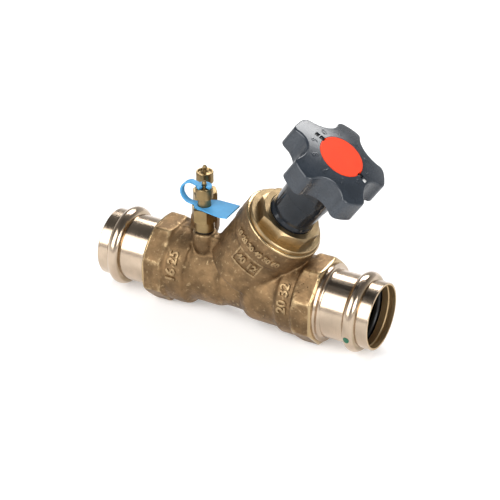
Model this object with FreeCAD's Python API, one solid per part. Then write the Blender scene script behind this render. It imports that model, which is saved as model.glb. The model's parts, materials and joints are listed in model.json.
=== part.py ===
import FreeCAD, Part
import math
import os

# Circuit balancing valve, DN 40 (1-1/2 in), for a heating or cooling water circuit.
# A bronze Y body stands with its run along +X, inlet to outlet, and +Z up.
# The origin is the centre of the inlet mouth. The bonnet, stem, plug and handwheel
# lie on the branch axis, which leans from the body's middle towards the outlet.
# All sizes are in millimetres.

os.makedirs("parts", exist_ok=True)

# Press ends, sized by the tube that they take
SOCKET_R = 20.85
SOCKET_DEPTH = 36.5
SOCKET_STOP_STEP = 2.05
STOP_TO_BODY = 0.5
PRESS_WALL = 1.5
MOUTH_LIP = 2.4
MOUTH_GROOVE = 2.8
MOUTH_GROOVE_DEPTH = 0.65
MOUTH_GROOVE_SLOPE = 0.6
RIM_ROUND = 0.5
BEAD_CENTRE = 12.6
BEAD_ARC_R = 4.7
BEAD_HEIGHT = 4.15
BEAD_WALL = 1.3
SEAL_SECTION_R = 2.05
SEAL_SETBACK = 0.05
PRESS_THREAD_STEP = 1.15
PRESS_THREAD_LENGTH = 14.0
THREAD_GAP = 0.04
OUTLET_COLLAR_STEP = 2.5
OUTLET_COLLAR_LENGTH = 2.0
PRESS_OUTER_R = SOCKET_R + PRESS_WALL
WATERWAY_R = SOCKET_R - SOCKET_STOP_STEP
PRESS_THREAD_R = PRESS_OUTER_R + PRESS_THREAD_STEP
OUTLET_COLLAR_R = PRESS_THREAD_R + OUTLET_COLLAR_STEP
PRESS_END_LENGTH = SOCKET_DEPTH + STOP_TO_BODY

# Run: stations along X from the inlet mouth
INLET_TO_BRANCH = 57.5
BRANCH_TO_OUTLET = 66.5
INLET_FACE = PRESS_END_LENGTH
BRANCH_X = INLET_FACE + INLET_TO_BRANCH
OUTLET_FACE = BRANCH_X + BRANCH_TO_OUTLET
OVERALL_LENGTH = OUTLET_FACE + PRESS_END_LENGTH

# Octagon ends and bands of the casting
OCTAGON_WALL = 3.8
OCTAGON_AF = 2 * (PRESS_THREAD_R + OCTAGON_WALL)
OCTAGON_CORNER_R = OCTAGON_AF / 2 / math.cos(math.pi / 8)
OCTAGON_EDGE_ROUND = 0.9
INLET_OCTAGON_LENGTH = 13.2
OUTLET_OCTAGON_LENGTH = 14.5
OCTAGON_CHAMFER = 1.6
OCTAGON_FACE_STEP = 0.6
OCTAGON_BACK_SLOPE = 2.6
OCTAGON_CORNER_ANGLE = 22.5
THREAD_WALL = 2.4
VALLEY_R = PRESS_THREAD_R + THREAD_WALL
BAND_HEIGHT = 0.8
BAND_R = VALLEY_R + BAND_HEIGHT
INLET_VALLEY = 2.0
INLET_BAND = 13.6
OUTLET_BAND_END = 1.0
OUTLET_BAND = 10.5

# Waterway and the casting's walls round it
INLET_CAVITY_R = 17.0
WAIST_CAVITY_R = 16.0
OUTLET_CAVITY_R = 20.5
PIPE_WALL = 5.2
WAIST_WALL = 4.3
BULGE_WALL = 4.0
PIPE_R = INLET_CAVITY_R + PIPE_WALL
WAIST_R = WAIST_CAVITY_R + WAIST_WALL
BULGE_R = OUTLET_CAVITY_R + BULGE_WALL
PIPE_END = -8.5
WAIST_START = -2.5
WAIST_END = 12.3
BULGE_START = 19.8
BULGE_RAMP = 5.0

# Seat, neck and chamber: stations are distances along the branch axis from the run axis
BRANCH_ANGLE = 56.0
SEAT_FLOOR = 16.0
SEAT_LIP = 1.0
SEAT_R = 14.0
SEAT_LIP_WALL = 1.6
SEAT_WALL = 4.0
SEAT_BOSS_R = SEAT_R + SEAT_WALL
BONNET_THREAD_R = 23.4
CHAMBER_STEP = 1.9
CHAMBER_R = BONNET_THREAD_R - CHAMBER_STEP
NECK_WALL = 3.0
NECK_R = BONNET_THREAD_R + NECK_WALL
NECK_BAND_HEIGHT = 0.9
NECK_BAND_R = NECK_R + NECK_BAND_HEIGHT
NECK_FOOT = 11.5
NECK_FOOT_ROUND = 1.4
NECK_FACE = 60.0
NECK_BAND = 17.5
NECK_STEP = NECK_FACE - NECK_BAND
NECK_CHAMFER = 0.9

# Bonnet
BONNET_FLANGE_STEP = 2.0
BONNET_FLANGE_R = BONNET_THREAD_R + BONNET_FLANGE_STEP
BONNET_FLANGE = 2.5
BONNET_FLANGE_CHAMFER = 0.5
BONNET_HEIGHT = 9.5
BONNET_TOP = NECK_FACE + BONNET_HEIGHT
BONNET_CHAMFER = 1.5
BONNET_CORNER_ANGLE = 13.5
BONNET_THREAD_LENGTH = 13.5
BONNET_THREAD_FOOT = NECK_FACE - BONNET_THREAD_LENGTH
BONNET_GUIDE = 9.5
BONNET_GUIDE_FOOT = BONNET_THREAD_FOOT - BONNET_GUIDE
BONNET_RECESS = 3.5
BONNET_RECESS_FLOOR = BONNET_TOP - BONNET_RECESS
BONNET_SEAL_SECTION = 1.2
COLLAR_POCKET_R = 9.2
COLLAR_POCKET_ROOF = 2.0
COLLAR_POCKET = 7.5
COLLAR_POCKET_TOP = NECK_FACE - COLLAR_POCKET_ROOF
COLLAR_POCKET_FOOT = COLLAR_POCKET_TOP - COLLAR_POCKET

# Stem with its thrust collar, seals and retainer
RUNNING_GAP = 0.06
COLLAR_END_GAP = 0.1
STEM_R = 6.0
STEM_THREAD_R = 5.0
STEM_COLLAR_GAP = 0.6
STEM_COLLAR_R = COLLAR_POCKET_R - STEM_COLLAR_GAP
STEM_COLLAR = 3.2
STEM_COLLAR_TOP = COLLAR_POCKET_TOP - COLLAR_END_GAP
STEM_COLLAR_FOOT = STEM_COLLAR_TOP - STEM_COLLAR
RETAINER = 3.4
RETAINER_TOP = STEM_COLLAR_FOOT - COLLAR_END_GAP
RETAINER_FOOT = RETAINER_TOP - RETAINER
RETAINER_HOLE_R = 0.6
RETAINER_HOLE_AT = (STEM_R + COLLAR_POCKET_R) / 2
O_RING_STATIONS = (NECK_FACE + 0.5, NECK_FACE + 3.6)
O_RING_SECTION_R = 0.78
O_RING_GROOVE_GAP = 0.1
O_RING_GROOVE_R = STEM_R - 1.55
DRIVE_AF = 9.4

# Plug and its carrier, with the plug closed on the seat
PLUG_LIFT = 8.0
LIFT_SPARE = 0.5
CARRIER_AF = 15.0
CARRIER_FOOT = SEAT_FLOOR + 7.6
CARRIER_TOP = RETAINER_FOOT - PLUG_LIFT - 1.2
CARRIER_FLOOR = 1.4
CARRIER_BORE_FLOOR = CARRIER_FOOT + CARRIER_FLOOR
CARRIER_STUB_R = 6.0
CARRIER_STUB_FOOT = SEAT_FLOOR - 3.5
STEM_FOOT = CARRIER_BORE_FLOOR + PLUG_LIFT + LIFT_SPARE
PLUG_OVERLAP = 1.8
PLUG_R = SEAT_R + SEAT_LIP_WALL + PLUG_OVERLAP
PLUG_CHAMFER = 0.8
PLUG_SEAT_GAP = 0.35
PLUG_SKIRT_R = SEAT_R - PLUG_SEAT_GAP
PLUG_SKIRT_STEP = 0.6
PLUG_NOSE_R = PLUG_SKIRT_R - 1.45
PLUG_NOSE = SEAT_FLOOR - 6.5
SEAL_CONTACT_GAP = 0.03
PLUG_SEAL_THICKNESS = 2.2
PLUG_BORE_GAP = 0.05
PLUG_CLIP_R = CARRIER_STUB_R + 2.6
PLUG_CLIP_THICKNESS = 1.0
PLUG_CLIP_GAP = 0.4
CLIP_GROOVE_DEPTH = 0.9
CLIP_MOUTH = 2.4

# Sleeve, hub and handwheel stations
SLEEVE_SEEN = 19.8
SLEEVE_FOOT_TOP = BONNET_TOP + 0.7
SLEEVE_CHAMFER_TOP = BONNET_TOP + 3.1
SLEEVE_SHOULDER = BONNET_TOP + SLEEVE_SEEN
SLEEVE_NECK = 16.7
SLEEVE_TOP = SLEEVE_SHOULDER + SLEEVE_NECK
SLEEVE_FLOOR = 2.0
SEAM_GAP = 0.4
HUB_HEIGHT = 21.2
WHEEL_FOOT = SLEEVE_SHOULDER + HUB_HEIGHT
HUB_SPIGOT = 1.3
HUB_TOP = WHEEL_FOOT + HUB_SPIGOT
WHEEL_RIM = WHEEL_FOOT + 15.1
WHEEL_CROWN = WHEEL_FOOT + 19.4
WHEEL_CROWN_BULGE = 0.7
WHEEL_BOSS_FOOT = WHEEL_FOOT + 1.5
WHEEL_CLIP_FOOT = WHEEL_FOOT + 7.5
WHEEL_CLIP_THICKNESS = 1.0
STEM_TOP = WHEEL_FOOT + 10.5

# Memory stop inside the stem, above the carrier's pocket
STOP_BORE_R = 2.6
STOP_SCREW_R = STOP_BORE_R - 0.05
STOP_SCREW_FOOT = STEM_FOOT + 0.1
STOP_SCREW_TOP = STEM_TOP - 4.0
STOP_SLOT_WIDTH = 0.9
STOP_SLOT_DEPTH = 1.2
STOP_GROOVE = STOP_SCREW_TOP - 9.0
STOP_GROOVE_R = STOP_SCREW_R - 0.8
STOP_O_RING_R = 0.4
CARRIER_POCKET_R = STOP_BORE_R + 0.3
CARRIER_POCKET_FLOOR = SEAT_FLOOR + SEAT_LIP

# Sleeve, dial, turns ring and hub
SLEEVE_BORE_R = 11.8
SLEEVE_NECK_R = SLEEVE_BORE_R + 1.5
SLEEVE_HIGH_R = SLEEVE_NECK_R + 2.2
SLEEVE_LOW_R = SLEEVE_HIGH_R - 0.8
SLEEVE_FOOT_R = SLEEVE_HIGH_R - 0.1
BONNET_RECESS_GAP = 0.5
BONNET_RECESS_R = SLEEVE_FOOT_R + BONNET_RECESS_GAP
BONNET_RECESS_WALL = 4.1
BONNET_AF = 2 * (BONNET_RECESS_R + BONNET_RECESS_WALL)
HUB_R = SLEEVE_HIGH_R + 0.4
HUB_NECK_GAP = 0.5
HUB_FLARE = 3.4
HUB_FLARE_MIDDLE = 0.9
HUB_FLARE_HEIGHT = 1.5
DIAL_R = 21.3
DIAL_STEP_R = DIAL_R - 2.6
DIAL_TUBE_WALL = 1.1
DIAL_TUBE_FOOT = SLEEVE_TOP - 6.0
DIAL_DISC_FOOT = WHEEL_FOOT + 1.7
DIAL_DISC = 1.4
DIAL_FACE = DIAL_DISC_FOOT + 12.0
TURNS_RING_R = DIAL_STEP_R - 0.2
TURNS_RING_BORE_R = TURNS_RING_R - 4.1

# Handwheel
WHEEL_CAVITY_GAP = 0.4
WHEEL_CAVITY_R = DIAL_R + WHEEL_CAVITY_GAP
WHEEL_CAVITY_TOP = DIAL_FACE + 0.5
HUB_FLARE_R = WHEEL_CAVITY_R - 0.3
LOBE_COUNT = 5
LOBE_ANGLE = 178.0
LOBE_TIP_R = 34.0
LOBE_CORNER_R = 4.2
VALLEY_WALL = 1.9
VALLEY_DEPTH_R = WHEEL_CAVITY_R + VALLEY_WALL
VALLEY_ARC_R = 13.0
WHEEL_EDGE_ROUND = 1.5
WHEEL_BOSS_R = TURNS_RING_BORE_R - 2.4
WHEEL_CLIP_R = DRIVE_AF / 2 + 2.9
DISC_R = 15.4
DISC_THICKNESS = 1.8
DISC_EDGE_ROUND = 0.7
DISC_CLEARANCE = 0.12
DISC_TOP = WHEEL_CROWN + 0.2
WINDOW_WIDTH = 3.6
OUTER_WINDOW = (DIAL_STEP_R + 0.2, WHEEL_CAVITY_R)
INNER_WINDOW = (DISC_R - 0.9, TURNS_RING_R - 0.3)
CAP_CLIP_WALL = 1.2
CAP_CLIP_R = WHEEL_BOSS_R - CAP_CLIP_WALL - 1.8
CAP_CLIP_LENGTH = 4.0

# Test ports: axis position beside the branch, and heights above the run axis
FRONT_PORT = (BRANCH_X - 20.0, -8.5, 33.5)
REAR_PORT = (BRANCH_X - 29.2, 8.5, 34.3)
PORT_THREAD_R = 5.2
PORT_THREAD_LENGTH = 8.5
FRONT_BOSS_R = PORT_THREAD_R + 2.8
REAR_BOSS_R = PORT_THREAD_R + 4.4
FRONT_BOSS_FILLET = 1.0
REAR_BOSS_FILLET = 1.5
BOSS_CHAMFER = 0.8
BOSS_TIP_R = 5.0
BOSS_TAPER = 17.0
PORT_WASHER = 0.7
PORT_COLLAR_R = PORT_THREAD_R + 1.25
PORT_COLLAR = 7.5
PORT_COLLAR_CHAMFER = 0.6
PORT_HEX_AF = 15.0
PORT_HEX = 9.8
PORT_HEX_CHAMFER = 0.8
PORT_HEX_CORNER_ANGLE = -52.0
PORT_NIPPLE_R = 4.35
PORT_NIPPLE = 11.0
PORT_NIPPLE_CHAMFER = 0.5
PORT_BORE_R = 1.5
CORE_R = 2.6
CORE_LENGTH = 5.0
CORE_GLAND = 1.5
CORE_SLIT = 2.0
CORE_SLIT_WIDTH = 0.12
CORE_SLIT_FLOOR = 1.0
CAP_WALL = 1.29
CAP_GAP = 0.06
CAP_R = PORT_NIPPLE_R + CAP_GAP + CAP_WALL
CAP_SKIRT = 4.6
CAP_ROOF = 1.0
CAP_RIM = 1.0
CAP_RIM_WIDTH = 0.9
CAP_DISH = 1.6
CAP_CHAMFER = 0.4
CAP_SEAL = 0.9
NUB_WAIST_R = 1.1
NUB_BALL_R = 1.6
NUB_TIP_R = 0.35
NUB_HEIGHT = 5.9
CHANNEL_R = 2.0
FRONT_CHANNEL_Z = FRONT_PORT[2] - 5.5
WEB_THICKNESS = 8.0
WEB_DROP = 1.6

# Marking tag on the front port
TAG_THICKNESS = 1.0
TAG_RING_GAP = 0.25
TAG_RING_WALL = 2.2
TAG_RING_R = PORT_NIPPLE_R + TAG_RING_GAP + TAG_RING_WALL
FLAG_FRONT = -9.0
FLAG_BACK = 9.7
FLAG_END = 20.6
FLAG_POINTS = (
    (-3.4, -5.9),
    (15.8, FLAG_FRONT),
    (FLAG_END, -7.8),
    (FLAG_END, FLAG_BACK),
    (6.0, FLAG_BACK),
    (-2.0, 6.5),
)
STRAP_WIDTH = 4.0
STRAP_THICKNESS = 1.1
STRAP_REACH = 16.9
CLIP_RING_GAP = 0.1
CLIP_RING_BORE_R = NUB_WAIST_R + 0.65
CLIP_RING_R = CLIP_RING_BORE_R + 3.25
CLIP_RING_THICKNESS = 1.2
CLIP_RING_GAP_ANGLE = 80.0
CLIP_RING_GAP_TURN = 28.0

# Gap between parts snapped or pressed together, how far a cutter overruns,
# and how near a point on a surface lies to it
SNAP_GAP = 0.03
OVERCUT = 1.0
TOUCHING = 0.001

V = FreeCAD.Vector


class Outline:
    """A closed outline of lines and arcs in the XZ plane, as (radius, station)."""

    def __init__(self, r, s):
        self.start = V(r, 0, s)
        self.here = self.start
        self.edges = []

    def line(self, r, s):
        point = V(r, 0, s)
        self.edges.append(Part.LineSegment(self.here, point).toShape())
        self.here = point
        return self

    def arc(self, mid_r, mid_s, r, s):
        middle = V(mid_r, 0, mid_s)
        point = V(r, 0, s)
        self.edges.append(Part.Arc(self.here, middle, point).toShape())
        self.here = point
        return self

    def face(self):
        if (self.here - self.start).Length > 1e-6:
            self.line(self.start.x, self.start.z)
        return Part.Face(Part.Wire(self.edges))

    def turned(self):
        return self.face().revolve(V(0, 0, 0), V(0, 0, 1), 360)


def rod(radius, foot, top):
    return Part.makeCylinder(radius, top - foot, V(0, 0, foot))


def tube(outer, inner, foot, top):
    return rod(outer, foot, top).cut(rod(inner, foot - OVERCUT, top + OVERCUT))


def prism(sides, across_flats, foot, top, corner_angle):
    """A regular prism on Z whose first corner lies at corner_angle from +X."""
    corner_r = across_flats / 2 / math.cos(math.pi / sides)
    corners = []
    for index in range(sides + 1):
        angle = math.radians(corner_angle + index * 360 / sides)
        corners.append(V(corner_r * math.cos(angle), corner_r * math.sin(angle), foot))
    return Part.Face(Part.makePolygon(corners)).extrude(V(0, 0, top - foot))


def ring(centre_r, section_r, station):
    """A round-section ring on Z."""
    return Part.makeTorus(centre_r, section_r, V(0, 0, station))


def turn(shape, angle):
    return shape.rotated(V(0, 0, 0), V(0, 0, 1), angle)


def on_run(shape):
    """Lays a shape made on Z along the run, with Z stations becoming X."""
    return shape.rotated(V(0, 0, 0), V(0, 1, 0), 90)


def on_outlet(shape):
    """Lays a shape made on Z along the run, measured back from the outlet mouth."""
    laid = shape.rotated(V(0, 0, 0), V(0, 1, 0), -90)
    return laid.translated(V(OVERALL_LENGTH, 0, 0))


def on_branch(shape):
    """Stands a shape made on Z on the branch axis."""
    tilted = shape.rotated(V(0, 0, 0), V(0, 1, 0), 90 - BRANCH_ANGLE)
    return tilted.translated(V(BRANCH_X, 0, 0))


def on_port(shape, port):
    """Stands a shape made on Z on a test port, with its boss top at station 0."""
    return shape.translated(V(*port))


# Press ends and their seals, made on Z with the mouth at 0

def bead_half_width(arc_r, wall_r):
    """Half the width of the bead's arc where it meets a cylinder wall."""
    drop = wall_r - (PRESS_OUTER_R + BEAD_HEIGHT - BEAD_ARC_R)
    return math.sqrt(arc_r ** 2 - drop ** 2)


def press_end(body_face, collar_r, collar_length):
    """A press end: mouth, seal bead, socket with its stop, and the body thread."""
    groove_arc_r = BEAD_ARC_R - BEAD_WALL
    outer_half = bead_half_width(BEAD_ARC_R, PRESS_OUTER_R)
    inner_half = bead_half_width(groove_arc_r, SOCKET_R)
    bead_top = PRESS_OUTER_R + BEAD_HEIGHT
    groove_top = bead_top - BEAD_WALL
    end = body_face + PRESS_THREAD_LENGTH
    collar_start = body_face - collar_length
    fillet = (collar_r - PRESS_OUTER_R) * 0.55
    outline = Outline(SOCKET_R, 0)
    outline.line(PRESS_OUTER_R - RIM_ROUND, 0)
    outline.arc(PRESS_OUTER_R - RIM_ROUND * 0.3, RIM_ROUND * 0.3, PRESS_OUTER_R, RIM_ROUND)
    outline.line(PRESS_OUTER_R, BEAD_CENTRE - outer_half)
    outline.arc(bead_top, BEAD_CENTRE, PRESS_OUTER_R, BEAD_CENTRE + outer_half)
    if collar_length > 0:
        sink = fillet * (1 - math.sqrt(0.5))
        outline.line(PRESS_OUTER_R, collar_start - fillet)
        outline.arc(PRESS_OUTER_R + sink, collar_start - sink, PRESS_OUTER_R + fillet, collar_start)
        outline.line(collar_r, collar_start)
        outline.line(collar_r, body_face)
    else:
        outline.line(PRESS_OUTER_R, body_face)
    outline.line(PRESS_THREAD_R - THREAD_GAP, body_face)
    outline.line(PRESS_THREAD_R - THREAD_GAP, end)
    outline.line(WATERWAY_R, end)
    outline.line(WATERWAY_R, SOCKET_DEPTH)
    outline.line(SOCKET_R, SOCKET_DEPTH)
    outline.line(SOCKET_R, BEAD_CENTRE + inner_half)
    outline.arc(groove_top, BEAD_CENTRE, SOCKET_R, BEAD_CENTRE - inner_half)
    groove_r = SOCKET_R + MOUTH_GROOVE_DEPTH
    outline.line(SOCKET_R, MOUTH_LIP + MOUTH_GROOVE)
    outline.line(groove_r, MOUTH_LIP + MOUTH_GROOVE - MOUTH_GROOVE_SLOPE)
    outline.line(groove_r, MOUTH_LIP + MOUTH_GROOVE_SLOPE)
    outline.line(SOCKET_R, MOUTH_LIP)
    return outline.turned()


def press_seal():
    centre_r = SOCKET_R + SEAL_SETBACK + SEAL_SECTION_R
    return ring(centre_r, SEAL_SECTION_R, BEAD_CENTRE)


def inlet_press_end():
    return on_run(press_end(PRESS_END_LENGTH, PRESS_OUTER_R, 0))


def outlet_press_end():
    return on_outlet(press_end(PRESS_END_LENGTH, OUTLET_COLLAR_R, OUTLET_COLLAR_LENGTH))


# Valve body

def octagon_end(face, length, direction):
    """A cast octagon with its outer end machined and chamfered, made on Z."""
    foot, top = sorted((face, face + direction * length))
    blank = prism(8, OCTAGON_AF, foot, top, OCTAGON_CORNER_ANGLE)
    blank = blank.makeFillet(OCTAGON_EDGE_ROUND, [edge for edge in blank.Edges if is_upright(edge)])
    turned = Outline(0, face)
    turned.line(OCTAGON_CORNER_R - OCTAGON_CHAMFER - OCTAGON_FACE_STEP, face)
    turned.line(OCTAGON_CORNER_R, face + direction * OCTAGON_CHAMFER)
    turned.line(OCTAGON_CORNER_R, face + direction * (length - OCTAGON_BACK_SLOPE))
    turned.line(VALLEY_R, face + direction * length)
    turned.line(0, face + direction * length)
    return blank.common(turned.turned())


def run_outside():
    """The run between its octagons: bands, pipe, waist and outlet bulge."""
    inlet_valley = INLET_FACE + INLET_OCTAGON_LENGTH + INLET_VALLEY
    band_top = inlet_valley + INLET_BAND / 2
    band_end = inlet_valley + INLET_BAND
    pipe_start = band_end + 5.0
    pipe_end = BRANCH_X + PIPE_END
    waist_start = BRANCH_X + WAIST_START
    waist_end = BRANCH_X + WAIST_END
    bulge_start = BRANCH_X + BULGE_START
    groove = OUTLET_FACE - OUTLET_OCTAGON_LENGTH - OUTLET_BAND_END
    band_foot = groove - OUTLET_BAND
    bulge_end = band_foot - BULGE_RAMP
    outline = Outline(0, INLET_FACE + 4)
    outline.line(VALLEY_R, INLET_FACE + 4)
    outline.line(VALLEY_R, inlet_valley)
    outline.arc(BAND_R, band_top, VALLEY_R + 0.1, band_end)
    outline.arc(PIPE_R + 1.2, band_end + 1.7, PIPE_R, pipe_start)
    outline.line(PIPE_R, pipe_end)
    outline.arc(PIPE_R - 0.5, pipe_end + 3.2, WAIST_R, waist_start)
    outline.line(WAIST_R, waist_end)
    outline.arc(BULGE_R - 1.35, waist_end + 2.9, BULGE_R, bulge_start)
    outline.line(BULGE_R, bulge_end)
    outline.arc(BULGE_R + 0.45, bulge_end + 3.0, BAND_R - 0.3, band_foot)
    outline.arc(BAND_R, band_foot + 1.2, BAND_R, band_foot + 2.6)
    outline.line(BAND_R, groove - 1.0)
    outline.line(VALLEY_R, groove)
    outline.line(VALLEY_R, OUTLET_FACE - 4)
    outline.line(0, OUTLET_FACE - 4)
    return on_run(outline.turned())


def neck_outside():
    outline = Outline(0, NECK_FOOT)
    outline.line(NECK_R - NECK_FOOT_ROUND, NECK_FOOT)
    inset = NECK_FOOT_ROUND * (1 - math.sqrt(0.5))
    outline.arc(NECK_R - inset, NECK_FOOT + inset, NECK_R, NECK_FOOT + NECK_FOOT_ROUND)
    outline.line(NECK_R, NECK_STEP - 0.5)
    outline.line(NECK_BAND_R, NECK_STEP + 0.5)
    outline.line(NECK_BAND_R, NECK_FACE - NECK_CHAMFER)
    outline.line(NECK_BAND_R - NECK_CHAMFER, NECK_FACE)
    outline.line(0, NECK_FACE)
    return on_branch(outline.turned())


def port_boss(port, boss_r):
    """A cast boss that tapers down into the run below a test port."""
    outline = Outline(0, 0)
    outline.line(boss_r - BOSS_CHAMFER, 0)
    outline.line(boss_r, -BOSS_CHAMFER)
    outline.line(boss_r, -BOSS_TAPER * 0.35)
    outline.arc(boss_r - 0.9, -BOSS_TAPER * 0.68, BOSS_TIP_R, -BOSS_TAPER)
    outline.line(0, -BOSS_TAPER - 2)
    return on_port(outline.turned(), port)


def crease_edges(both, first, second):
    """The edges of two fused solids that lie on the surfaces of both."""
    shells = [Part.Shell(solid.Faces) for solid in (first, second)]
    found = []
    for edge in both.Edges:
        start, end = edge.ParameterRange
        middle = Part.Vertex(edge.valueAt((start + end) / 2))
        if all(shell.distToShape(middle)[0] < TOUCHING for shell in shells):
            found.append(edge)
    return found


def run_with_bosses():
    """The run with both bosses fused on, and a cast fillet round each boss's foot."""
    shape = run_outside()
    bosses = (
        (REAR_PORT, REAR_BOSS_R, REAR_BOSS_FILLET),
        (FRONT_PORT, FRONT_BOSS_R, FRONT_BOSS_FILLET),
    )
    for port, boss_r, fillet_r in bosses:
        boss = port_boss(port, boss_r)
        both = shape.fuse(boss)
        shape = both.makeFillet(fillet_r, crease_edges(both, shape, boss))
    return shape


def boss_web():
    """The rib between the front boss and the neck, which the drilling runs in."""
    x, y, top = FRONT_PORT
    web_top = top - WEB_DROP
    corner = V(x, y - WEB_THICKNESS / 2, PIPE_R / 2)
    rib = Part.makeBox(BRANCH_X - 6 - x, WEB_THICKNESS, web_top - corner.z, corner)
    inside_neck = on_branch(rod(NECK_R, NECK_FOOT, NECK_FACE))
    return rib.cut(inside_neck)


def inlet_cavity():
    """The waterway from the inlet thread to the underside of the seat."""
    thread_end = INLET_FACE + PRESS_THREAD_LENGTH
    run = on_run(rod(INLET_CAVITY_R, thread_end - OVERCUT, BRANCH_X + 5))
    below_seat = SEAT_FLOOR - SEAT_WALL
    above = on_branch(rod(OVERALL_LENGTH, below_seat, below_seat + OVERALL_LENGTH))
    run = run.cut(above)
    port = on_branch(rod(SEAT_R, -NECK_R, 2))
    port = port.common(on_run(rod(INLET_CAVITY_R, 0, OVERALL_LENGTH)))
    seat_hole = on_branch(rod(SEAT_R, 0, SEAT_FLOOR + 2 * SEAT_LIP))
    return run.fuse([port, seat_hole])


def outlet_cavity():
    """The chamber over the seat and the waterway on to the outlet thread."""
    chamber = on_branch(rod(CHAMBER_R, SEAT_FLOOR, BONNET_THREAD_FOOT + OVERCUT))
    lip = on_branch(tube(SEAT_R + SEAT_LIP_WALL, SEAT_R, SEAT_FLOOR - OVERCUT, SEAT_FLOOR + SEAT_LIP))
    chamber = chamber.cut(lip)
    thread_start = OUTLET_FACE - PRESS_THREAD_LENGTH
    outline = Outline(0, BRANCH_X + 8)
    outline.line(WAIST_CAVITY_R, BRANCH_X + 8)
    outline.line(WAIST_CAVITY_R, BRANCH_X + 14)
    outline.line(OUTLET_CAVITY_R, BRANCH_X + 21)
    outline.line(OUTLET_CAVITY_R, thread_start + OVERCUT)
    outline.line(0, thread_start + OVERCUT)
    run = on_run(outline.turned())
    boss = on_branch(rod(SEAT_BOSS_R, -2 * NECK_R, SEAT_FLOOR))
    return chamber.fuse(run.cut(boss))


def port_drilling(port, depth):
    """The thread for a port body and the drilling on from it."""
    thread = rod(PORT_THREAD_R, -PORT_THREAD_LENGTH - 0.5, OVERCUT)
    drilling = rod(CHANNEL_R, -depth, 0)
    return on_port(thread.fuse(drilling), port)


def valve_body():
    octagons = [
        on_run(octagon_end(INLET_FACE, INLET_OCTAGON_LENGTH + 2.0, 1)),
        on_run(octagon_end(OUTLET_FACE, OUTLET_OCTAGON_LENGTH + 1.0, -1)),
    ]
    body = run_with_bosses().fuse(octagons + [neck_outside(), boss_web()])
    inlet_end = INLET_FACE + PRESS_THREAD_LENGTH
    outlet_end = OUTLET_FACE - PRESS_THREAD_LENGTH
    inlet_thread = on_run(rod(PRESS_THREAD_R, INLET_FACE - OVERCUT, inlet_end))
    outlet_thread = on_run(rod(PRESS_THREAD_R, outlet_end, OUTLET_FACE + OVERCUT))
    bonnet_thread = on_branch(rod(BONNET_THREAD_R, BONNET_THREAD_FOOT, NECK_FACE + OVERCUT))
    front_x, front_y, front_top = FRONT_PORT
    front_drilling = port_drilling(FRONT_PORT, front_top - FRONT_CHANNEL_Z + CHANNEL_R)
    channel_start = V(front_x, front_y, FRONT_CHANNEL_Z)
    channel = Part.makeCylinder(CHANNEL_R, BRANCH_X - front_x - 2, channel_start, V(1, 0, 0))
    rear_drilling = port_drilling(REAR_PORT, REAR_PORT[2] - INLET_CAVITY_R / 2)
    cuts = [
        inlet_cavity(),
        outlet_cavity(),
        inlet_thread,
        outlet_thread,
        bonnet_thread,
        front_drilling,
        channel,
        rear_drilling,
    ]
    for cut in cuts:
        body = body.cut(cut)
    return body.removeSplitter()


# Bonnet and what it holds, made on Z along the branch axis

def bonnet():
    flange_top = NECK_FACE + BONNET_FLANGE
    guide_r = CARRIER_AF / 2 + 5.0
    outline = Outline(0, BONNET_GUIDE_FOOT)
    outline.line(guide_r, BONNET_GUIDE_FOOT)
    outline.line(guide_r, BONNET_THREAD_FOOT + 0.5)
    outline.line(BONNET_THREAD_R - THREAD_GAP, BONNET_THREAD_FOOT + 0.5)
    outline.line(BONNET_THREAD_R - THREAD_GAP, NECK_FACE)
    outline.line(BONNET_FLANGE_R, NECK_FACE)
    outline.line(BONNET_FLANGE_R, flange_top - BONNET_FLANGE_CHAMFER)
    outline.line(BONNET_FLANGE_R - BONNET_FLANGE_CHAMFER, flange_top)
    outline.line(0, flange_top)
    turned = outline.turned()
    octagon = prism(8, BONNET_AF, flange_top - 0.5, BONNET_TOP, BONNET_CORNER_ANGLE)
    corner_r = BONNET_AF / 2 / math.cos(math.pi / 8)
    chamfer = Outline(0, flange_top - 0.5)
    chamfer.line(corner_r + 0.1, flange_top - 0.5)
    chamfer.line(corner_r + 0.1, BONNET_TOP - BONNET_CHAMFER)
    chamfer.line(BONNET_AF / 2 - 0.4, BONNET_TOP)
    chamfer.line(0, BONNET_TOP)
    shape = turned.fuse(octagon.common(chamfer.turned()))
    guide = prism(6, CARRIER_AF + 2 * RUNNING_GAP, BONNET_GUIDE_FOOT - OVERCUT, COLLAR_POCKET_FOOT, 0)
    pocket = rod(COLLAR_POCKET_R, COLLAR_POCKET_FOOT, COLLAR_POCKET_TOP)
    bore = rod(STEM_R + RUNNING_GAP, COLLAR_POCKET_TOP - OVERCUT, BONNET_TOP)
    recess = rod(BONNET_RECESS_R, BONNET_RECESS_FLOOR, BONNET_TOP + OVERCUT)
    groove_r = BONNET_THREAD_R - 2 * BONNET_SEAL_SECTION
    groove = tube(BONNET_THREAD_R + OVERCUT, groove_r, NECK_FACE - 2.6, NECK_FACE - 0.01)
    shape = shape.cut(guide).cut(pocket).cut(bore).cut(recess).cut(groove)
    return on_branch(shape)


def bonnet_seal():
    centre_r = BONNET_THREAD_R - BONNET_SEAL_SECTION
    return on_branch(ring(centre_r, BONNET_SEAL_SECTION - 0.03, NECK_FACE - 1.3))


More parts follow.
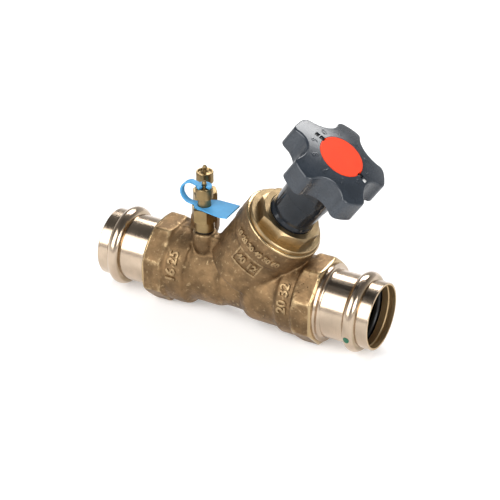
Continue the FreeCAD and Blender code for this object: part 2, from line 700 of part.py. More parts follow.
def stem():
    """A stepped shaft: lift thread, thrust collar, seal grooves and drive hexagon."""
    thread_r = STEM_THREAD_R
    outline = Outline(0, STEM_FOOT)
    outline.line(thread_r - 0.6, STEM_FOOT)
    outline.line(thread_r, STEM_FOOT + 0.6)
    outline.line(thread_r, RETAINER_FOOT)
    outline.line(STEM_R, RETAINER_FOOT)
    outline.line(STEM_R, STEM_COLLAR_FOOT)
    outline.line(STEM_COLLAR_R, STEM_COLLAR_FOOT)
    outline.line(STEM_COLLAR_R, STEM_COLLAR_TOP)
    outline.line(STEM_R, STEM_COLLAR_TOP)
    for station in O_RING_STATIONS:
        half = O_RING_SECTION_R + O_RING_GROOVE_GAP
        outline.line(STEM_R, station - half)
        outline.line(O_RING_GROOVE_R, station - half)
        outline.line(O_RING_GROOVE_R, station + half)
        outline.line(STEM_R, station + half)
    outline.line(STEM_R, WHEEL_BOSS_FOOT)
    outline.line(0, WHEEL_BOSS_FOOT)
    drive = prism(6, DRIVE_AF, WHEEL_BOSS_FOOT, STEM_TOP, LOBE_ANGLE)
    clip_groove = tube(DRIVE_AF, DRIVE_AF / 2 - 0.6, *wheel_clip_span())
    bore = rod(STOP_BORE_R, STEM_FOOT - OVERCUT, STEM_TOP + OVERCUT)
    shape = outline.turned().fuse(drive).cut(clip_groove).cut(bore)
    return on_branch(shape)


def stem_o_ring(station):
    centre_r = O_RING_GROOVE_R + O_RING_SECTION_R + 0.01
    return on_branch(ring(centre_r, O_RING_SECTION_R, station))


def stem_retainer():
    """The ring screwed in below the thrust collar, with two spanner holes."""
    shape = tube(COLLAR_POCKET_R - THREAD_GAP, STEM_R + RUNNING_GAP, RETAINER_FOOT, RETAINER_TOP)
    for side in (-1, 1):
        hole = rod(RETAINER_HOLE_R, RETAINER_FOOT - OVERCUT, RETAINER_FOOT + 2)
        shape = shape.cut(hole.translated(V(side * RETAINER_HOLE_AT, 0, 0)))
    return on_branch(shape)


def plug_carrier():
    """The hexagonal nut that rises on the stem thread, with a stub for the plug."""
    nut = prism(6, CARRIER_AF, CARRIER_FOOT, CARRIER_TOP, 0)
    stub = rod(CARRIER_STUB_R, CARRIER_STUB_FOOT, CARRIER_FOOT)
    bore = rod(STEM_THREAD_R + RUNNING_GAP, CARRIER_BORE_FLOOR, CARRIER_TOP + OVERCUT)
    pocket = rod(CARRIER_POCKET_R, CARRIER_POCKET_FLOOR, CARRIER_BORE_FLOOR + OVERCUT)
    foot, top = plug_clip_span()
    groove = tube(CARRIER_STUB_R + OVERCUT, CARRIER_STUB_R - CLIP_GROOVE_DEPTH, foot, top)
    return on_branch(nut.fuse(stub).cut(bore).cut(pocket).cut(groove))


def plug_clip_span():
    foot = CARRIER_STUB_FOOT + 1.0
    return foot, foot + PLUG_CLIP_THICKNESS


def throttle_plug():
    """The disc that closes the seat and the tapering skirt that throttles the flow."""
    seal_foot, seal_top = plug_seal_span()
    disc_top = CARRIER_FOOT
    clip_top = plug_clip_span()[1]
    bore_r = CARRIER_STUB_R + PLUG_BORE_GAP
    clip_pit_r = PLUG_CLIP_R + PLUG_CLIP_GAP
    outline = Outline(bore_r, disc_top)
    outline.line(PLUG_R - PLUG_CHAMFER, disc_top)
    outline.line(PLUG_R, disc_top - PLUG_CHAMFER)
    outline.line(PLUG_R, seal_top)
    outline.line(PLUG_SKIRT_R - PLUG_SKIRT_STEP, seal_top)
    outline.line(PLUG_SKIRT_R - PLUG_SKIRT_STEP, seal_foot)
    outline.line(PLUG_SKIRT_R, seal_foot - 0.4)
    outline.line(PLUG_SKIRT_R, SEAT_FLOOR - 1.5)
    outline.line(PLUG_NOSE_R, PLUG_NOSE)
    outline.line(clip_pit_r, PLUG_NOSE)
    outline.line(clip_pit_r, clip_top)
    outline.line(bore_r, clip_top)
    return on_branch(outline.turned())


def plug_seal_span():
    foot = SEAT_FLOOR + SEAT_LIP + SEAL_CONTACT_GAP
    return foot, foot + PLUG_SEAL_THICKNESS


def plug_seal():
    seal_foot, seal_top = plug_seal_span()
    bore_r = PLUG_SKIRT_R - PLUG_SKIRT_STEP + SNAP_GAP
    return on_branch(tube(PLUG_R - 0.3, bore_r, seal_foot, seal_top))


def open_clip(outer, inner, foot, top):
    """A retaining ring with the gap that lets it spring over its shaft."""
    corner = V(0, -CLIP_MOUTH / 2, foot - OVERCUT)
    gap = Part.makeBox(outer + OVERCUT, CLIP_MOUTH, top - foot + 2 * OVERCUT, corner)
    return tube(outer, inner, foot, top).cut(gap)


def plug_clip():
    foot, top = plug_clip_span()
    return on_branch(open_clip(PLUG_CLIP_R, CARRIER_STUB_R - 0.85, foot, top))


def memory_stop_screw():
    """The long screw inside the stem that limits how far the plug can rise."""
    shape = rod(STOP_SCREW_R, STOP_SCREW_FOOT, STOP_SCREW_TOP)
    groove = tube(STOP_SCREW_R + OVERCUT, STOP_GROOVE_R, STOP_GROOVE - 0.5, STOP_GROOVE + 0.5)
    slot_length = 2 * (STOP_SCREW_R + OVERCUT)
    slot_corner = V(-slot_length / 2, -STOP_SLOT_WIDTH / 2, STOP_SCREW_TOP - STOP_SLOT_DEPTH)
    slot = Part.makeBox(slot_length, STOP_SLOT_WIDTH, STOP_SLOT_DEPTH + OVERCUT, slot_corner)
    return on_branch(shape.cut(groove).cut(slot))


def memory_stop_seal():
    return on_branch(ring(STOP_GROOVE_R + STOP_O_RING_R + 0.02, STOP_O_RING_R, STOP_GROOVE))


# Sleeve, dial, turns ring and handwheel

def position_sleeve():
    """The fixed sleeve between bonnet and handwheel, with a neck that holds the dial."""
    floor_bore_r = STEM_R + 0.6
    outline = Outline(floor_bore_r, BONNET_RECESS_FLOOR)
    outline.line(SLEEVE_FOOT_R, BONNET_RECESS_FLOOR)
    outline.line(SLEEVE_FOOT_R, SLEEVE_FOOT_TOP)
    outline.line(SLEEVE_LOW_R, SLEEVE_CHAMFER_TOP)
    outline.line(SLEEVE_HIGH_R, SLEEVE_SHOULDER)
    outline.line(SLEEVE_NECK_R, SLEEVE_SHOULDER)
    outline.line(SLEEVE_NECK_R, SLEEVE_TOP)
    outline.line(SLEEVE_BORE_R, SLEEVE_TOP)
    outline.line(SLEEVE_BORE_R, BONNET_RECESS_FLOOR + SLEEVE_FLOOR)
    outline.line(floor_bore_r, BONNET_RECESS_FLOOR + SLEEVE_FLOOR)
    return on_branch(outline.turned())


def indicator_dial():
    """The fixed tenths dial: a tube on the sleeve, a disc, and an outer ring face."""
    bore = SLEEVE_NECK_R + SNAP_GAP
    tube_r = bore + DIAL_TUBE_WALL
    outline = Outline(bore, DIAL_TUBE_FOOT)
    outline.line(tube_r, DIAL_TUBE_FOOT)
    outline.line(tube_r, DIAL_DISC_FOOT)
    outline.line(DIAL_R, DIAL_DISC_FOOT)
    outline.line(DIAL_R, DIAL_FACE)
    outline.line(DIAL_STEP_R, DIAL_FACE)
    outline.line(DIAL_STEP_R, DIAL_DISC_FOOT + DIAL_DISC)
    outline.line(bore, DIAL_DISC_FOOT + DIAL_DISC)
    return on_branch(outline.turned())


def turns_ring():
    """The ring that shows whole turns, running on the dial's disc."""
    foot = DIAL_DISC_FOOT + DIAL_DISC + RUNNING_GAP
    return on_branch(tube(TURNS_RING_R, TURNS_RING_BORE_R, foot, DIAL_FACE))


def handwheel_hub():
    """The flaring skirt that covers the sleeve's neck and closes the wheel below."""
    foot = SLEEVE_SHOULDER + SEAM_GAP
    neck_gap = SLEEVE_NECK_R + HUB_NECK_GAP
    dial_gap = SLEEVE_NECK_R + DIAL_TUBE_WALL + SNAP_GAP + HUB_NECK_GAP
    outline = Outline(neck_gap, foot)
    outline.line(HUB_R, foot)
    flare_foot = WHEEL_FOOT - HUB_FLARE_HEIGHT
    outline.arc(HUB_R + HUB_FLARE_MIDDLE, (foot + WHEEL_FOOT) / 2, HUB_R + HUB_FLARE, flare_foot)
    outline.line(HUB_FLARE_R, WHEEL_FOOT)
    outline.line(HUB_FLARE_R, HUB_TOP)
    outline.line(dial_gap, HUB_TOP)
    outline.line(dial_gap, DIAL_TUBE_FOOT - 1.5)
    outline.line(neck_gap, DIAL_TUBE_FOOT - 3.0)
    return on_branch(outline.turned())


def star_prism(foot, top):
    """The star handwheel's outline as a prism on Z."""
    pitch = 360 / LOBE_COUNT
    hollow_centre_r = VALLEY_DEPTH_R + VALLEY_ARC_R
    disc = rod(LOBE_TIP_R, foot, top)
    for index in range(LOBE_COUNT):
        hollow = rod(VALLEY_ARC_R, foot - OVERCUT, top + OVERCUT)
        hollow = hollow.translated(V(hollow_centre_r, 0, 0))
        disc = disc.cut(turn(hollow, LOBE_ANGLE + pitch * (index + 0.5)))
    upright = [edge for edge in disc.Edges if edge.Length > (top - foot) * 0.99 and is_upright(edge)]
    return disc.makeFillet(LOBE_CORNER_R, upright)


def is_upright(edge):
    first, last = edge.Vertexes[0].Point, edge.Vertexes[-1].Point
    return abs(first.x - last.x) < 1e-6 and abs(first.y - last.y) < 1e-6 and abs(first.z - last.z) > 1


def window(span, foot, top):
    """A pair of square windows on the line through the first lobe."""
    near, far = span
    box = Part.makeBox(far - near, WINDOW_WIDTH, top - foot, V(near, -WINDOW_WIDTH / 2, foot))
    opposite = box.rotated(V(0, 0, 0), V(0, 0, 1), 180)
    return turn(box.fuse(opposite), LOBE_ANGLE)


def handwheel():
    blank = star_prism(WHEEL_FOOT, WHEEL_CROWN + OVERCUT)
    dome = Outline(0, WHEEL_FOOT - OVERCUT)
    dome.line(LOBE_TIP_R + OVERCUT, WHEEL_FOOT - OVERCUT)
    dome.line(LOBE_TIP_R + OVERCUT, WHEEL_RIM)
    middle = (WHEEL_RIM + WHEEL_CROWN) / 2 + WHEEL_CROWN_BULGE
    dome.arc((LOBE_TIP_R + DISC_R) / 2, middle, DISC_R, WHEEL_CROWN)
    dome.line(0, WHEEL_CROWN)
    shape = blank.common(dome.turned())
    top_edges = [edge for edge in shape.Edges if is_wheel_top_edge(edge)]
    shape = shape.makeFillet(WHEEL_EDGE_ROUND, top_edges)
    cavity = tube(WHEEL_CAVITY_R, WHEEL_BOSS_R, WHEEL_FOOT - OVERCUT, WHEEL_CAVITY_TOP)
    under_boss = rod(WHEEL_BOSS_R + OVERCUT, WHEEL_FOOT - 2 * OVERCUT, WHEEL_BOSS_FOOT)
    recess_r = DISC_R + DISC_CLEARANCE
    recess = rod(recess_r, DISC_TOP - DISC_THICKNESS - 0.4, WHEEL_CROWN + OVERCUT)
    pit = rod(CAP_CLIP_R + CAP_CLIP_WALL, wheel_clip_span()[0], WHEEL_CROWN)
    drive = prism(6, DRIVE_AF + 0.08, WHEEL_FOOT - OVERCUT, WHEEL_CROWN, LOBE_ANGLE)
    shape = shape.cut(cavity).cut(under_boss).cut(recess).cut(pit).cut(drive)
    shape = shape.cut(window(OUTER_WINDOW, WHEEL_CAVITY_TOP - OVERCUT, WHEEL_CROWN + OVERCUT))
    shape = shape.cut(window(INNER_WINDOW, WHEEL_CAVITY_TOP - OVERCUT, WHEEL_CROWN + OVERCUT))
    return on_branch(shape)


def is_wheel_top_edge(edge):
    """An edge of the star's side wall along the dome."""
    low = min(vertex.Point.z for vertex in edge.Vertexes)
    radius = min(math.hypot(vertex.Point.x, vertex.Point.y) for vertex in edge.Vertexes)
    return low > WHEEL_RIM - 1 and radius > VALLEY_DEPTH_R - 1


def wheel_clip_span():
    return WHEEL_CLIP_FOOT, WHEEL_CLIP_FOOT + WHEEL_CLIP_THICKNESS


def handwheel_clip():
    foot, top = wheel_clip_span()
    clip = open_clip(WHEEL_CLIP_R, DRIVE_AF / 2 - 0.55, foot, top)
    return on_branch(clip)


def handwheel_cap():
    """The snap-in cover disc with its clip ring and a notch at each window."""
    foot = DISC_TOP - DISC_THICKNESS
    outline = Outline(0, foot)
    outline.line(DISC_R, foot)
    inset = DISC_EDGE_ROUND * (1 - math.sqrt(0.5))
    outline.line(DISC_R, DISC_TOP - DISC_EDGE_ROUND)
    outline.arc(DISC_R - inset, DISC_TOP - inset, DISC_R - DISC_EDGE_ROUND, DISC_TOP)
    outline.line(0, DISC_TOP)
    clip_r = CAP_CLIP_R + CAP_CLIP_WALL - 0.1
    clip = tube(clip_r, CAP_CLIP_R, foot - CAP_CLIP_LENGTH, foot + 0.5)
    shape = outline.turned().fuse(clip)
    return on_branch(shape.cut(window(INNER_WINDOW, foot - OVERCUT, DISC_TOP + OVERCUT)))


# Test ports, made on Z with the boss top at 0

def port_stations():
    """Heights of the port's steps above its boss."""
    collar = PORT_WASHER
    hexagon = collar + PORT_COLLAR
    nipple = hexagon + PORT_HEX
    tip = nipple + PORT_NIPPLE
    return collar, hexagon, nipple, tip


def port_body(port):
    collar, hexagon, nipple, tip = port_stations()
    outline = Outline(0, -PORT_THREAD_LENGTH)
    outline.line(PORT_THREAD_R - THREAD_GAP, -PORT_THREAD_LENGTH)
    outline.line(PORT_THREAD_R - THREAD_GAP, collar)
    outline.line(PORT_COLLAR_R - PORT_COLLAR_CHAMFER, collar)
    outline.line(PORT_COLLAR_R, collar + PORT_COLLAR_CHAMFER)
    outline.line(PORT_COLLAR_R, hexagon + 0.5)
    outline.line(PORT_NIPPLE_R, hexagon + 0.5)
    outline.line(PORT_NIPPLE_R, tip - PORT_NIPPLE_CHAMFER)
    outline.line(PORT_NIPPLE_R - PORT_NIPPLE_CHAMFER, tip)
    outline.line(0, tip)
    corner_r = PORT_HEX_AF / 2 / math.cos(math.pi / 6)
    chamfer = Outline(0, hexagon)
    chamfer.line(PORT_HEX_AF / 2, hexagon)
    chamfer.line(corner_r, hexagon + PORT_HEX_CHAMFER)
    chamfer.line(corner_r, nipple - PORT_HEX_CHAMFER)
    chamfer.line(PORT_HEX_AF / 2, nipple)
    chamfer.line(0, nipple)
    hex_prism = prism(6, PORT_HEX_AF, hexagon, nipple, PORT_HEX_CORNER_ANGLE)
    shape = outline.turned().fuse(hex_prism.common(chamfer.turned()))
    bore = rod(PORT_BORE_R, -PORT_THREAD_LENGTH - OVERCUT, tip + OVERCUT)
    core_pocket = rod(CORE_R, tip - CORE_GLAND - CORE_LENGTH, tip + OVERCUT)
    return on_port(shape.cut(bore).cut(core_pocket), port)


def port_washer(port):
    return on_port(tube(PORT_COLLAR_R - 0.7, PORT_THREAD_R, 0, PORT_WASHER), port)


def port_core(port):
    """The slit rubber plug that a measuring needle is pushed through."""
    tip = port_stations()[3]
    top = tip - CORE_GLAND
    shape = rod(CORE_R - 0.02, top - CORE_LENGTH, top)
    slit_corner = V(-CORE_SLIT / 2, -CORE_SLIT_WIDTH / 2, top - CORE_LENGTH + CORE_SLIT_FLOOR)
    slit = Part.makeBox(CORE_SLIT, CORE_SLIT_WIDTH, CORE_LENGTH - CORE_SLIT_FLOOR, slit_corner)
    return on_port(shape.cut(slit), port)


def port_gland(port):
    """The bush pressed in over the rubber core."""
    tip = port_stations()[3]
    return on_port(tube(CORE_R - 0.01, PORT_BORE_R, tip - CORE_GLAND, tip), port)


def cap_seal(port):
    tip = port_stations()[3]
    return on_port(rod(PORT_NIPPLE_R - 0.3, tip, tip + CAP_SEAL), port)


def port_cap(port):
    """The screw cap: skirt, dished roof and the nub that the tag clips on."""
    tip = port_stations()[3]
    bore_r = PORT_NIPPLE_R + CAP_GAP
    roof = tip + CAP_SEAL
    floor = roof + CAP_ROOF
    rim = floor + CAP_RIM
    top = floor + NUB_HEIGHT
    ball = top - NUB_BALL_R * 1.4
    outline = Outline(bore_r, tip - CAP_SKIRT)
    outline.line(CAP_R - CAP_CHAMFER, tip - CAP_SKIRT)
    outline.line(CAP_R, tip - CAP_SKIRT + CAP_CHAMFER)
    outline.line(CAP_R, rim - CAP_CHAMFER)
    outline.line(CAP_R - CAP_CHAMFER, rim)
    outline.line(CAP_R - CAP_RIM_WIDTH, rim)
    outline.line(CAP_R - CAP_DISH, floor)
    outline.line(NUB_WAIST_R + 0.9, floor)
    outline.arc(NUB_WAIST_R + 0.2, floor + 0.7, NUB_WAIST_R, floor + 1.8)
    outline.line(NUB_WAIST_R, ball - NUB_BALL_R * 0.75)
    outline.arc(NUB_BALL_R, ball, NUB_TIP_R, top)
    outline.line(0, top)
    outline.line(0, roof)
    outline.line(bore_r, roof)
    return on_port(outline.turned(), port)


def measuring_tag():
    """The moulded tag: a flag and ring on the port's neck, a strap, and a clip ring."""
    nipple, tip = port_stations()[2:]
    low = nipple
    high = nipple + TAG_THICKNESS
    bore = PORT_NIPPLE_R + TAG_RING_GAP
    points = [V(x, y, low) for x, y in FLAG_POINTS]
    flag = Part.Face(Part.makePolygon(points + [points[0]])).extrude(V(0, 0, TAG_THICKNESS))
    lower = rod(TAG_RING_R, low, high).fuse(flag)
    floor = tip + CAP_SEAL + CAP_ROOF
    clip_low = floor + CAP_RIM + CLIP_RING_GAP
    clip_high = clip_low + CLIP_RING_THICKNESS
    clip = tube(CLIP_RING_R, CLIP_RING_BORE_R, clip_low, clip_high)
    jaw = math.radians(CLIP_RING_GAP_ANGLE / 2)
    reach = CLIP_RING_R + 2
    mouth = Part.makePolygon([
        V(0, 0, clip_low),
        V(reach * math.sin(-jaw), -reach * math.cos(jaw), clip_low),
        V(reach * math.sin(jaw), -reach * math.cos(jaw), clip_low),
        V(0, 0, clip_low),
    ])
    mouth_cut = Part.Face(mouth).extrude(V(0, 0, clip_high - clip_low))
    clip = clip.cut(turn(mouth_cut, CLIP_RING_GAP_TURN))
    strap = strap_band(high, clip_low, clip_high)
    shape = lower.fuse(strap).fuse(clip)
    shape = shape.cut(rod(bore, low - OVERCUT, high + 2))
    return on_port(shape, FRONT_PORT)


def strap_band(lower_top, clip_low, clip_high):
    """The bowed strap in the XZ plane, from the lower ring round to the clip ring."""
    middle = (lower_top + clip_high) / 2
    outer = Outline(-TAG_RING_R + 1.0, lower_top - TAG_THICKNESS)
    outer.line(-TAG_RING_R - 1.5, lower_top - TAG_THICKNESS)
    outer.arc(-STRAP_REACH + 1.2, middle - 4.4, -STRAP_REACH, middle + 0.5)
    outer.arc(-STRAP_REACH + 2.2, clip_low - 0.6, -9.0, clip_high + 1.2)
    outer.line(-CLIP_RING_R + 1.2, clip_high)
    outer.line(-CLIP_RING_R + 1.2, clip_low)
    outer.line(-8.9, clip_high + 1.2 - STRAP_THICKNESS)
    outer.arc(-STRAP_REACH + 3.1, clip_low - 1.4, -STRAP_REACH + STRAP_THICKNESS, middle + 0.4)
    outer.arc(-STRAP_REACH + 2.2, middle - 4.0, -TAG_RING_R - 1.3, lower_top)
    outer.line(-TAG_RING_R + 1.0, lower_top)
    band = outer.face().extrude(V(0, STRAP_WIDTH, 0))
    return band.translated(V(0, -STRAP_WIDTH / 2, 0))


PIECES = {
    "valve_body": valve_body,
    "inlet_press_end": inlet_press_end,
    "outlet_press_end": outlet_press_end,
    "inlet_seal_ring": lambda: on_run(press_seal()),
    "outlet_seal_ring": lambda: on_outlet(press_seal()),
    "bonnet": bonnet,
    "bonnet_seal_ring": bonnet_seal,
    "stem": stem,
    "stem_o_ring_lower": lambda: stem_o_ring(O_RING_STATIONS[0]),
    "stem_o_ring_upper": lambda: stem_o_ring(O_RING_STATIONS[1]),
    "stem_retainer": stem_retainer,
    "plug_carrier": plug_carrier,
    "throttle_plug": throttle_plug,
    "plug_seal": plug_seal,
    "plug_clip": plug_clip,
    "memory_stop_screw": memory_stop_screw,
    "memory_stop_seal": memory_stop_seal,
    "position_sleeve": position_sleeve,
    "indicator_dial": indicator_dial,
    "turns_ring": turns_ring,
    "handwheel_hub": handwheel_hub,
    "handwheel": handwheel,
    "handwheel_clip": handwheel_clip,
    "handwheel_cap": handwheel_cap,
    "measuring_tag": measuring_tag,
}

for side, port in (("front", FRONT_PORT), ("rear", REAR_PORT)):
    PIECES[side + "_port_body"] = lambda port=port: port_body(port)
    PIECES[side + "_port_washer"] = lambda port=port: port_washer(port)
    PIECES[side + "_port_core"] = lambda port=port: port_core(port)
    PIECES[side + "_port_gland"] = lambda port=port: port_gland(port)
    PIECES[side + "_cap_seal"] = lambda port=port: cap_seal(port)
    PIECES[side + "_cap"] = lambda port=port: port_cap(port)

for node, make in PIECES.items():
    shape = make()
    shape.exportStep(os.path.join("parts", node + ".step"))
    print(node, "valid" if shape.isValid() else "NOT VALID", len(shape.Solids), round(shape.Volume, 1))
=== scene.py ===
"""Looks for a circuit balancing valve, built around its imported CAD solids."""

import json
import math

import bmesh
import bpy
from bpy.props import FloatProperty, FloatVectorProperty, IntProperty
from mathutils import Matrix, Vector, noise


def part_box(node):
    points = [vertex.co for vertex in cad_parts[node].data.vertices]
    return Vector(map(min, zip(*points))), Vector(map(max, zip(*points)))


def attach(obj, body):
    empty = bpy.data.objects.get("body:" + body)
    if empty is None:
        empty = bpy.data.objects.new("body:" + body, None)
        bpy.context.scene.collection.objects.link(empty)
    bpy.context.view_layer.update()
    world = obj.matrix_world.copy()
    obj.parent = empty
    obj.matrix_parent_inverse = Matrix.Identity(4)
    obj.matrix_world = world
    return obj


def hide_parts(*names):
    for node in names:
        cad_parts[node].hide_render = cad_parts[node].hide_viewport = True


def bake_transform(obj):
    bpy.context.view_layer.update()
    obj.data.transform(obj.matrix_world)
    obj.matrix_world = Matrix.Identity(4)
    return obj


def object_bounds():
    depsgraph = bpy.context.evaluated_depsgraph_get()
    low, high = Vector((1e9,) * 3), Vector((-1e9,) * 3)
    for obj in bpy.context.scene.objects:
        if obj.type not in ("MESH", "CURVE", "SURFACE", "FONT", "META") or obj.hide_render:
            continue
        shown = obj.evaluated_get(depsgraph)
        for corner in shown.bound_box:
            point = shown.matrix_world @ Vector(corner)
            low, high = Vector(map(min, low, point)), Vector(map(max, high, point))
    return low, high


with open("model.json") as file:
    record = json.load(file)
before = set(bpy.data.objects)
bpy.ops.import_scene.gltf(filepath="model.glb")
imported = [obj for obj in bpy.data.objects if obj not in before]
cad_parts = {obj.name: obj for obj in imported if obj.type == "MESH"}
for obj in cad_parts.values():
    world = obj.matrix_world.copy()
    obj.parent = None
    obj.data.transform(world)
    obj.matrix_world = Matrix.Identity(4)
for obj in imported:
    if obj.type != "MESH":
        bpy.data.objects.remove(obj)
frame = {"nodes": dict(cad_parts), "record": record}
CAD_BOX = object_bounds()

bl_info = {
    "name": "Circuit balancing valve",
    "version": (1, 0, 0),
    "blender": (4, 5, 0),
    "location": "View3D > Sidebar > Valve",
    "description": "Dresses a packed circuit balancing valve and sets up its studio",
    "category": "Object",
}

# Places along the run, from the inlet's mouth, in metres like every size below
RUN_MIDDLE = 0.099
INLET_CHAMFER = 0.0386
INLET_BAND = 0.0588
OUTLET_BAND = 0.1402
OUTLET_CHAMFER = 0.1592
OUTLET_BEAD = 0.1854
FLOOR_HEIGHT = CAD_BOX[0].z

# The branch: where its axis meets the run's, its lean towards the outlet, and places along it
BRANCH_FOOT = Vector((0.0945, 0, 0))
BRANCH_LEAN = math.radians(34)
NECK_FRAME = 0.0362
NECK_ROW = 0.0490
NECK_RIM = 0.0588
WHEEL_RIM = 0.1256
WHEEL_CROWN = 0.1299

# Radii about the run
SOCKET_RADIUS = 0.0217
BAND_RADIUS = 0.0267
BEAD_CREST = 0.0265
BEAD_ARC = 0.0047
BEAD_FLANK = 0.0044

# Radii about the branch, and how far the handwheel's top bows above a straight cone
NECK_RADIUS = 0.0264
NECK_BAND_RADIUS = 0.0273
DISC_RADIUS = 0.0154
INNER_WINDOW_RADIUS = 0.01635
DIGIT_RADIUS = 0.0196
OUTER_WINDOW_RADIUS = 0.0203
LOBE_TIP_RADIUS = 0.034
WHEEL_BOW = 0.0007

# Turns about the run's or the branch's axis
FRONT = math.radians(-90)
ROW_TURN = math.radians(-92)
BAND_TURN = math.radians(-112)
DOT_TURN = math.radians(-105.7)
WINDOW_TURN = math.radians(178)

# The handwheel's raised digits, and the fields in its windows
DIGITS = 10
DIGIT_STEP = 360 / DIGITS
DIGIT_SINK = 0.0001
FIELD_SIZE = (0.0026, 0.0034, 0.0010)
FIELD_EDGE = 0.0002
FIELD_DEPTH = 0.0013

# The dot of paint on the outlet's bead, drawn out a little round the bead
DOT_RADIUS = 0.0021
DOT_STRETCH = 1.15
DOT_BEND = 0.026
DOT_LIFT = 0.00012

# The port caps: bore, roof, the dish in it, edges, where the knurling stops, and the turned
# button as radii with heights above the dish
CAP_BORE = 0.00441
CAP_ROOF = 0.0010
CAP_DISH = 0.0010
CAP_EDGE = 0.0003
CAP_FOOT_BEVEL = 0.0004
CAP_RIM_WIDTH = 0.0010
CAP_DISH_EDGE = 0.0016
KNURL_FOOT = 0.0005
KNURL_HEAD = 0.0006
KNURL_MARGIN = 0.0004
KNURL_REACH = 0.00005
CAP_BUTTON = (
    (0.0020, 0.0), (0.0014, 0.0004), (0.0011, 0.0016), (0.0010, 0.0024), (0.0015, 0.0031),
    (0.0016, 0.0039), (0.0014, 0.0046), (0.0008, 0.0054), (0.0, 0.0059),
)

# The casting: its most triangles, rounds of smoothing, sizes of its waves and lumps, and the
# mould's ridge, which shows on top of the inlet side
CASTING_TRIANGLES = 190000
CAST_ROUNDS = 7
FACED_ROUNDS = 1
WAVE_LENGTH = 0.009
LUMP_LENGTH = 0.0028
LUMP_SHARE = 0.45
RIDGE_WIDTH = 0.0011
RIDGE_LOWEST = 0.018
RIDGE_END = BRANCH_FOOT.x - 0.035

# The casting's attribute that says how far a spot stands out of its surroundings: its name,
# its unit, the rounds of smoothing that give the surroundings, and what raised marks have
WEAR = "wear"
WEAR_UNIT = 0.0001
WEAR_ROUNDS = 9
MARK_WEAR = 3.2

# Starts the finishes' names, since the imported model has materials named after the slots
FINISH_PREFIX = "finish_"

# Nodes whose finish isn't the one of their slot
# The sleeve and hub under the handwheel take its colour darkened as painted shade
NODE_FINISHES = {"position_sleeve": "sleeve_plastic", "handwheel_hub": "sleeve_plastic"}

# Height of the relief of a fine moulded or turned surface
FINE_RELIEF = 0.00003

# Meshes: corners this near are one, and edges sharper than this stay sharp
MERGE_DISTANCE = 1e-7
TEXT_MERGE_DISTANCE = 1e-6
SHARP_ANGLE = math.radians(35)
CASTING_SHARP_ANGLE = math.radians(60)

# The studio: what the lamps point at, the floor, its glow to the camera and to metal, and the
# walls' grey at heights from the horizon up
STUDIO_CENTRE = Vector((0.1, 0, 0.03))
FLOOR_REACH = 3.0
FLOOR_GLOW = 0.25
WALL_GREYS = ((0.0, 0.85), (0.18, 0.60), (0.45, 0.22), (1.0, 0.10))
NEAREST_VIEW = 0.05


# Settings

class ValveColours(bpy.types.PropertyGroup):
    """Colours of the valve's finishes, as the surface shows them in plain light."""

    cast: FloatVectorProperty(
        name="Cast bronze", description="Mean colour of the cast surfaces",
        subtype="COLOR", size=3, min=0, max=1, default=(0.208, 0.130, 0.064))
    machined: FloatVectorProperty(
        name="Turned bronze", description="Colour of turned and chamfered faces",
        subtype="COLOR", size=3, min=0, max=1, default=(0.47, 0.34, 0.185))
    polished: FloatVectorProperty(
        name="Press end", description="Colour of the bright press ends",
        subtype="COLOR", size=3, min=0, max=1, default=(0.53, 0.42, 0.315))
    brass: FloatVectorProperty(
        name="Brass", description="Colour of the test ports and the stem",
        subtype="COLOR", size=3, min=0, max=1, default=(0.295, 0.208, 0.100))
    wheel: FloatVectorProperty(
        name="Handwheel", description="Colour of the handwheel and its sleeve",
        subtype="COLOR", size=3, min=0, max=1, default=(0.023, 0.030, 0.040))
    disc: FloatVectorProperty(
        name="Cover disc", description="Colour of the handwheel's cover disc",
        subtype="COLOR", size=3, min=0, max=1, default=(0.90, 0.058, 0.013))
    tag: FloatVectorProperty(
        name="Marking tag", description="Colour of the marking tag",
        subtype="COLOR", size=3, min=0, max=1, default=(0.078, 0.325, 0.60))
    dot: FloatVectorProperty(
        name="Marking dot", description="Colour of the dot on the outlet bead",
        subtype="COLOR", size=3, min=0, max=1, default=(0.0, 0.10, 0.045))


class ValveSizes(bpy.types.PropertyGroup):
    """Sizes of the surface detail."""

    grain: FloatProperty(
        name="Casting grain", description="Size of the cast surface's grain",
        unit="LENGTH", default=0.0010, min=0.0001)
    grain_depth: FloatProperty(
        name="Grain depth", description="Height of the cast surface's grain",
        unit="LENGTH", default=0.00026, min=0)
    knurls: IntProperty(
        name="Knurls", description="Number of ribs round each port cap",
        default=44, min=12, max=90)
    knurl_depth: FloatProperty(
        name="Knurl depth", description="Height of the ribs round each port cap",
        unit="LENGTH", default=0.00016, min=0)
    mark_height: FloatProperty(
        name="Cast mark height", description="How far the cast marks stand out",
        unit="LENGTH", default=0.0007, min=0)
    skin_voxel: FloatProperty(
        name="Skin voxel", description="Voxel size of the remeshed casting",
        unit="LENGTH", default=0.0006, min=0.0003)
    skin_waves: FloatProperty(
        name="Skin waves", description="Height of the casting's slow waves",
        unit="LENGTH", default=0.00022, min=0)
    ridge: FloatProperty(
        name="Parting ridge", description="Height of the ridge where the mould's halves met",
        unit="LENGTH", default=0.00035, min=0)


